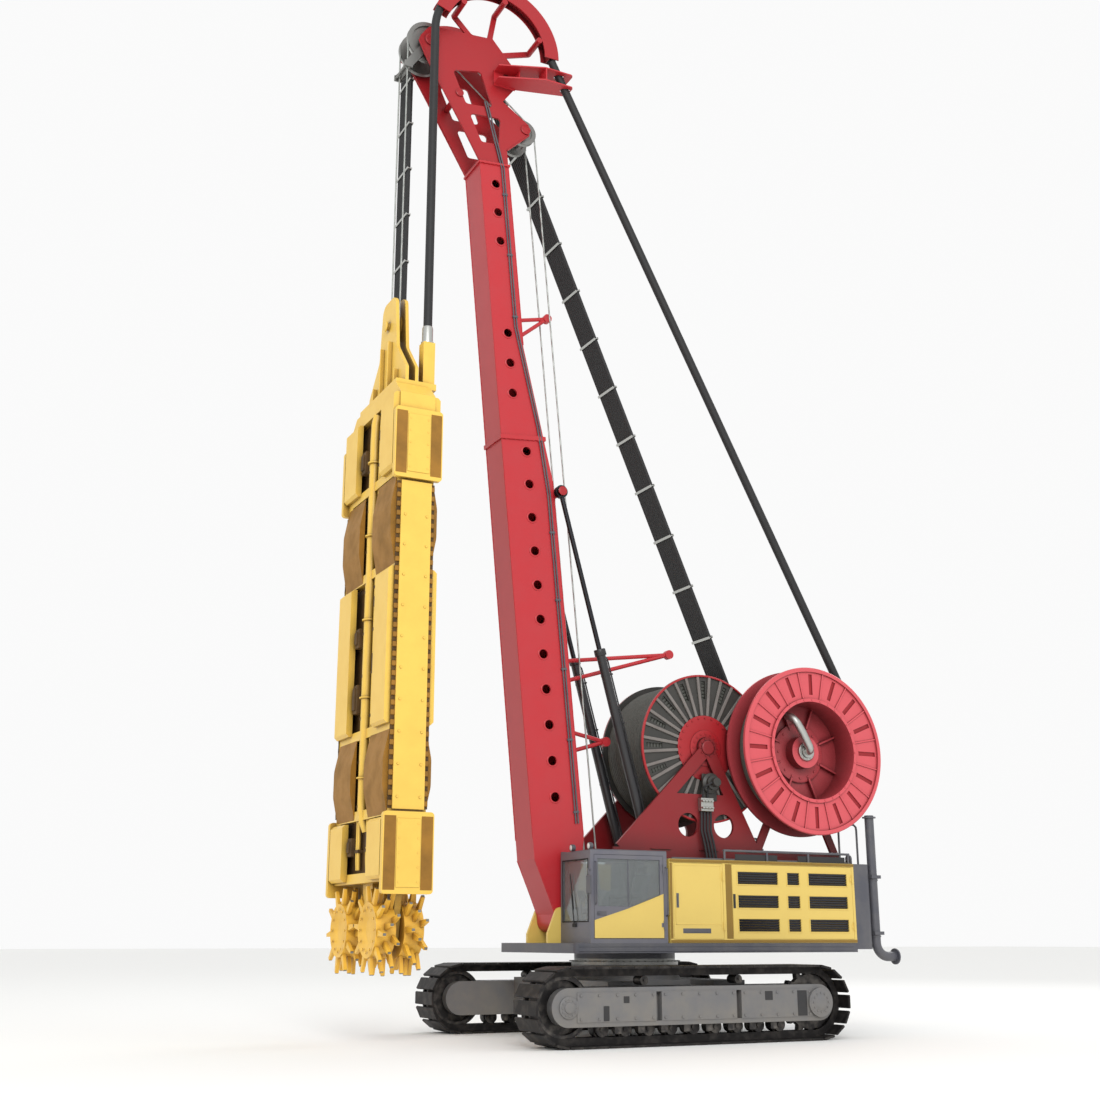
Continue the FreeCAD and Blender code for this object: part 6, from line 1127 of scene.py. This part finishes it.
# Cutting wheels: a tungsten carbide tip on every tooth, bolts round the drums' faces.
carbide = turned_steel("sintered tungsten carbide", "#8c8a86", 0.42)
tip = slab([(-0.030, 0.640), (0.030, 0.640), (0.026, 0.685), (0.004, 0.7), (-0.022, 0.7)],
           -0.024, 0.024, "X")
for side, turn in (("left", 1), ("right", -1)):
    hub = np.array([cutter_x, 0.71 * turn, 1.76])
    tips, wheel_bolts = [], []
    for way in (1, -1):
        for order, share in enumerate((0.14, 0.5, 0.86)):
            for k in range(10):
                aim = turn * math.radians(order * 12 + (18 if way < 0 else 0) + 36 * k)
                tips.append(moved(tip, hub + ((0.07 + 0.33 * share) * way, 0, 0),
                                  [[1, 0, 0], [0, math.cos(aim), math.sin(aim)],
                                   [0, -math.sin(aim), math.cos(aim)]]))
        wheel_bolts.append(copied(
            bolt_head, [hub + (0.40 * way, 0.34 * math.cos(a), 0.34 * math.sin(a))
                        for a in 2 * math.pi * np.arange(12) / 12],
            [[0, way, 0], [1, 0, 0], [0, 0, 1]]))
    piece(f"cutter_tips_{side}", tips, carbide, f"cutter_wheel_{side}")
    piece(f"cutter_wheel_bolts_{side}", wheel_bolts, wheel_paint, f"cutter_wheel_{side}")


# -------------------------------- floor, light and camera
# A plain pale floor under a soft white studio sky, with two large soft lamps, and a camera at
# standing height that looks up at the whole machine.

floor_mesh = bpy.data.meshes.new("floor")
reach = 260.0
floor_mesh.from_pydata([(-reach, -reach, 0), (reach, -reach, 0), (reach, reach, 0),
                        (-reach, reach, 0)], [], [(0, 1, 2, 3)])
floor_mesh.materials.append(even_finish("pale studio floor", "#f2f2f0", 0.85))
floor = bpy.data.objects.new("floor", floor_mesh)
lamps = []
for name, spot, size, power, aim_z in (("key lamp", (16, 36, 24), 16, 6800, 6),
                                       ("rear lamp", (-24, -14, 24), 14, 1600, 8)):
    light = bpy.data.lights.new(name, "AREA")
    light.shape = "DISK"
    light.size = size
    light.energy = power
    lamp = bpy.data.objects.new(name, light)
    lamp.location = spot
    x, y, z = np.array([0, 0, aim_z], float) - spot
    lamp.rotation_euler = (math.atan2(z, math.hypot(x, y)) + math.pi / 2, 0,
                           math.atan2(y, x) - math.pi / 2)
    lamps.append(lamp)
for item in (floor, *lamps):
    bpy.context.scene.collection.objects.link(item)

world = bpy.data.worlds.new("studio sky")
bpy.context.scene.world = world
world.use_nodes = True
sky = world.node_tree.nodes["Background"]
sky.inputs["Color"].default_value = linear("#ffffff")
sky.inputs["Strength"].default_value = 0.96

eye = bpy.data.cameras.new("camera")
eye.sensor_width = 36
eye.lens = 45.62
eye.clip_end = 1000
camera = bpy.data.objects.new("camera", eye)
camera.location = (12.68, 22.38, 1.61)
camera.rotation_euler = (math.radians(90 + 15.63), 0, math.radians(180 - 26.6))
bpy.context.scene.collection.objects.link(camera)
bpy.context.scene.camera = camera
bpy.context.scene.view_settings.view_transform = "Standard"
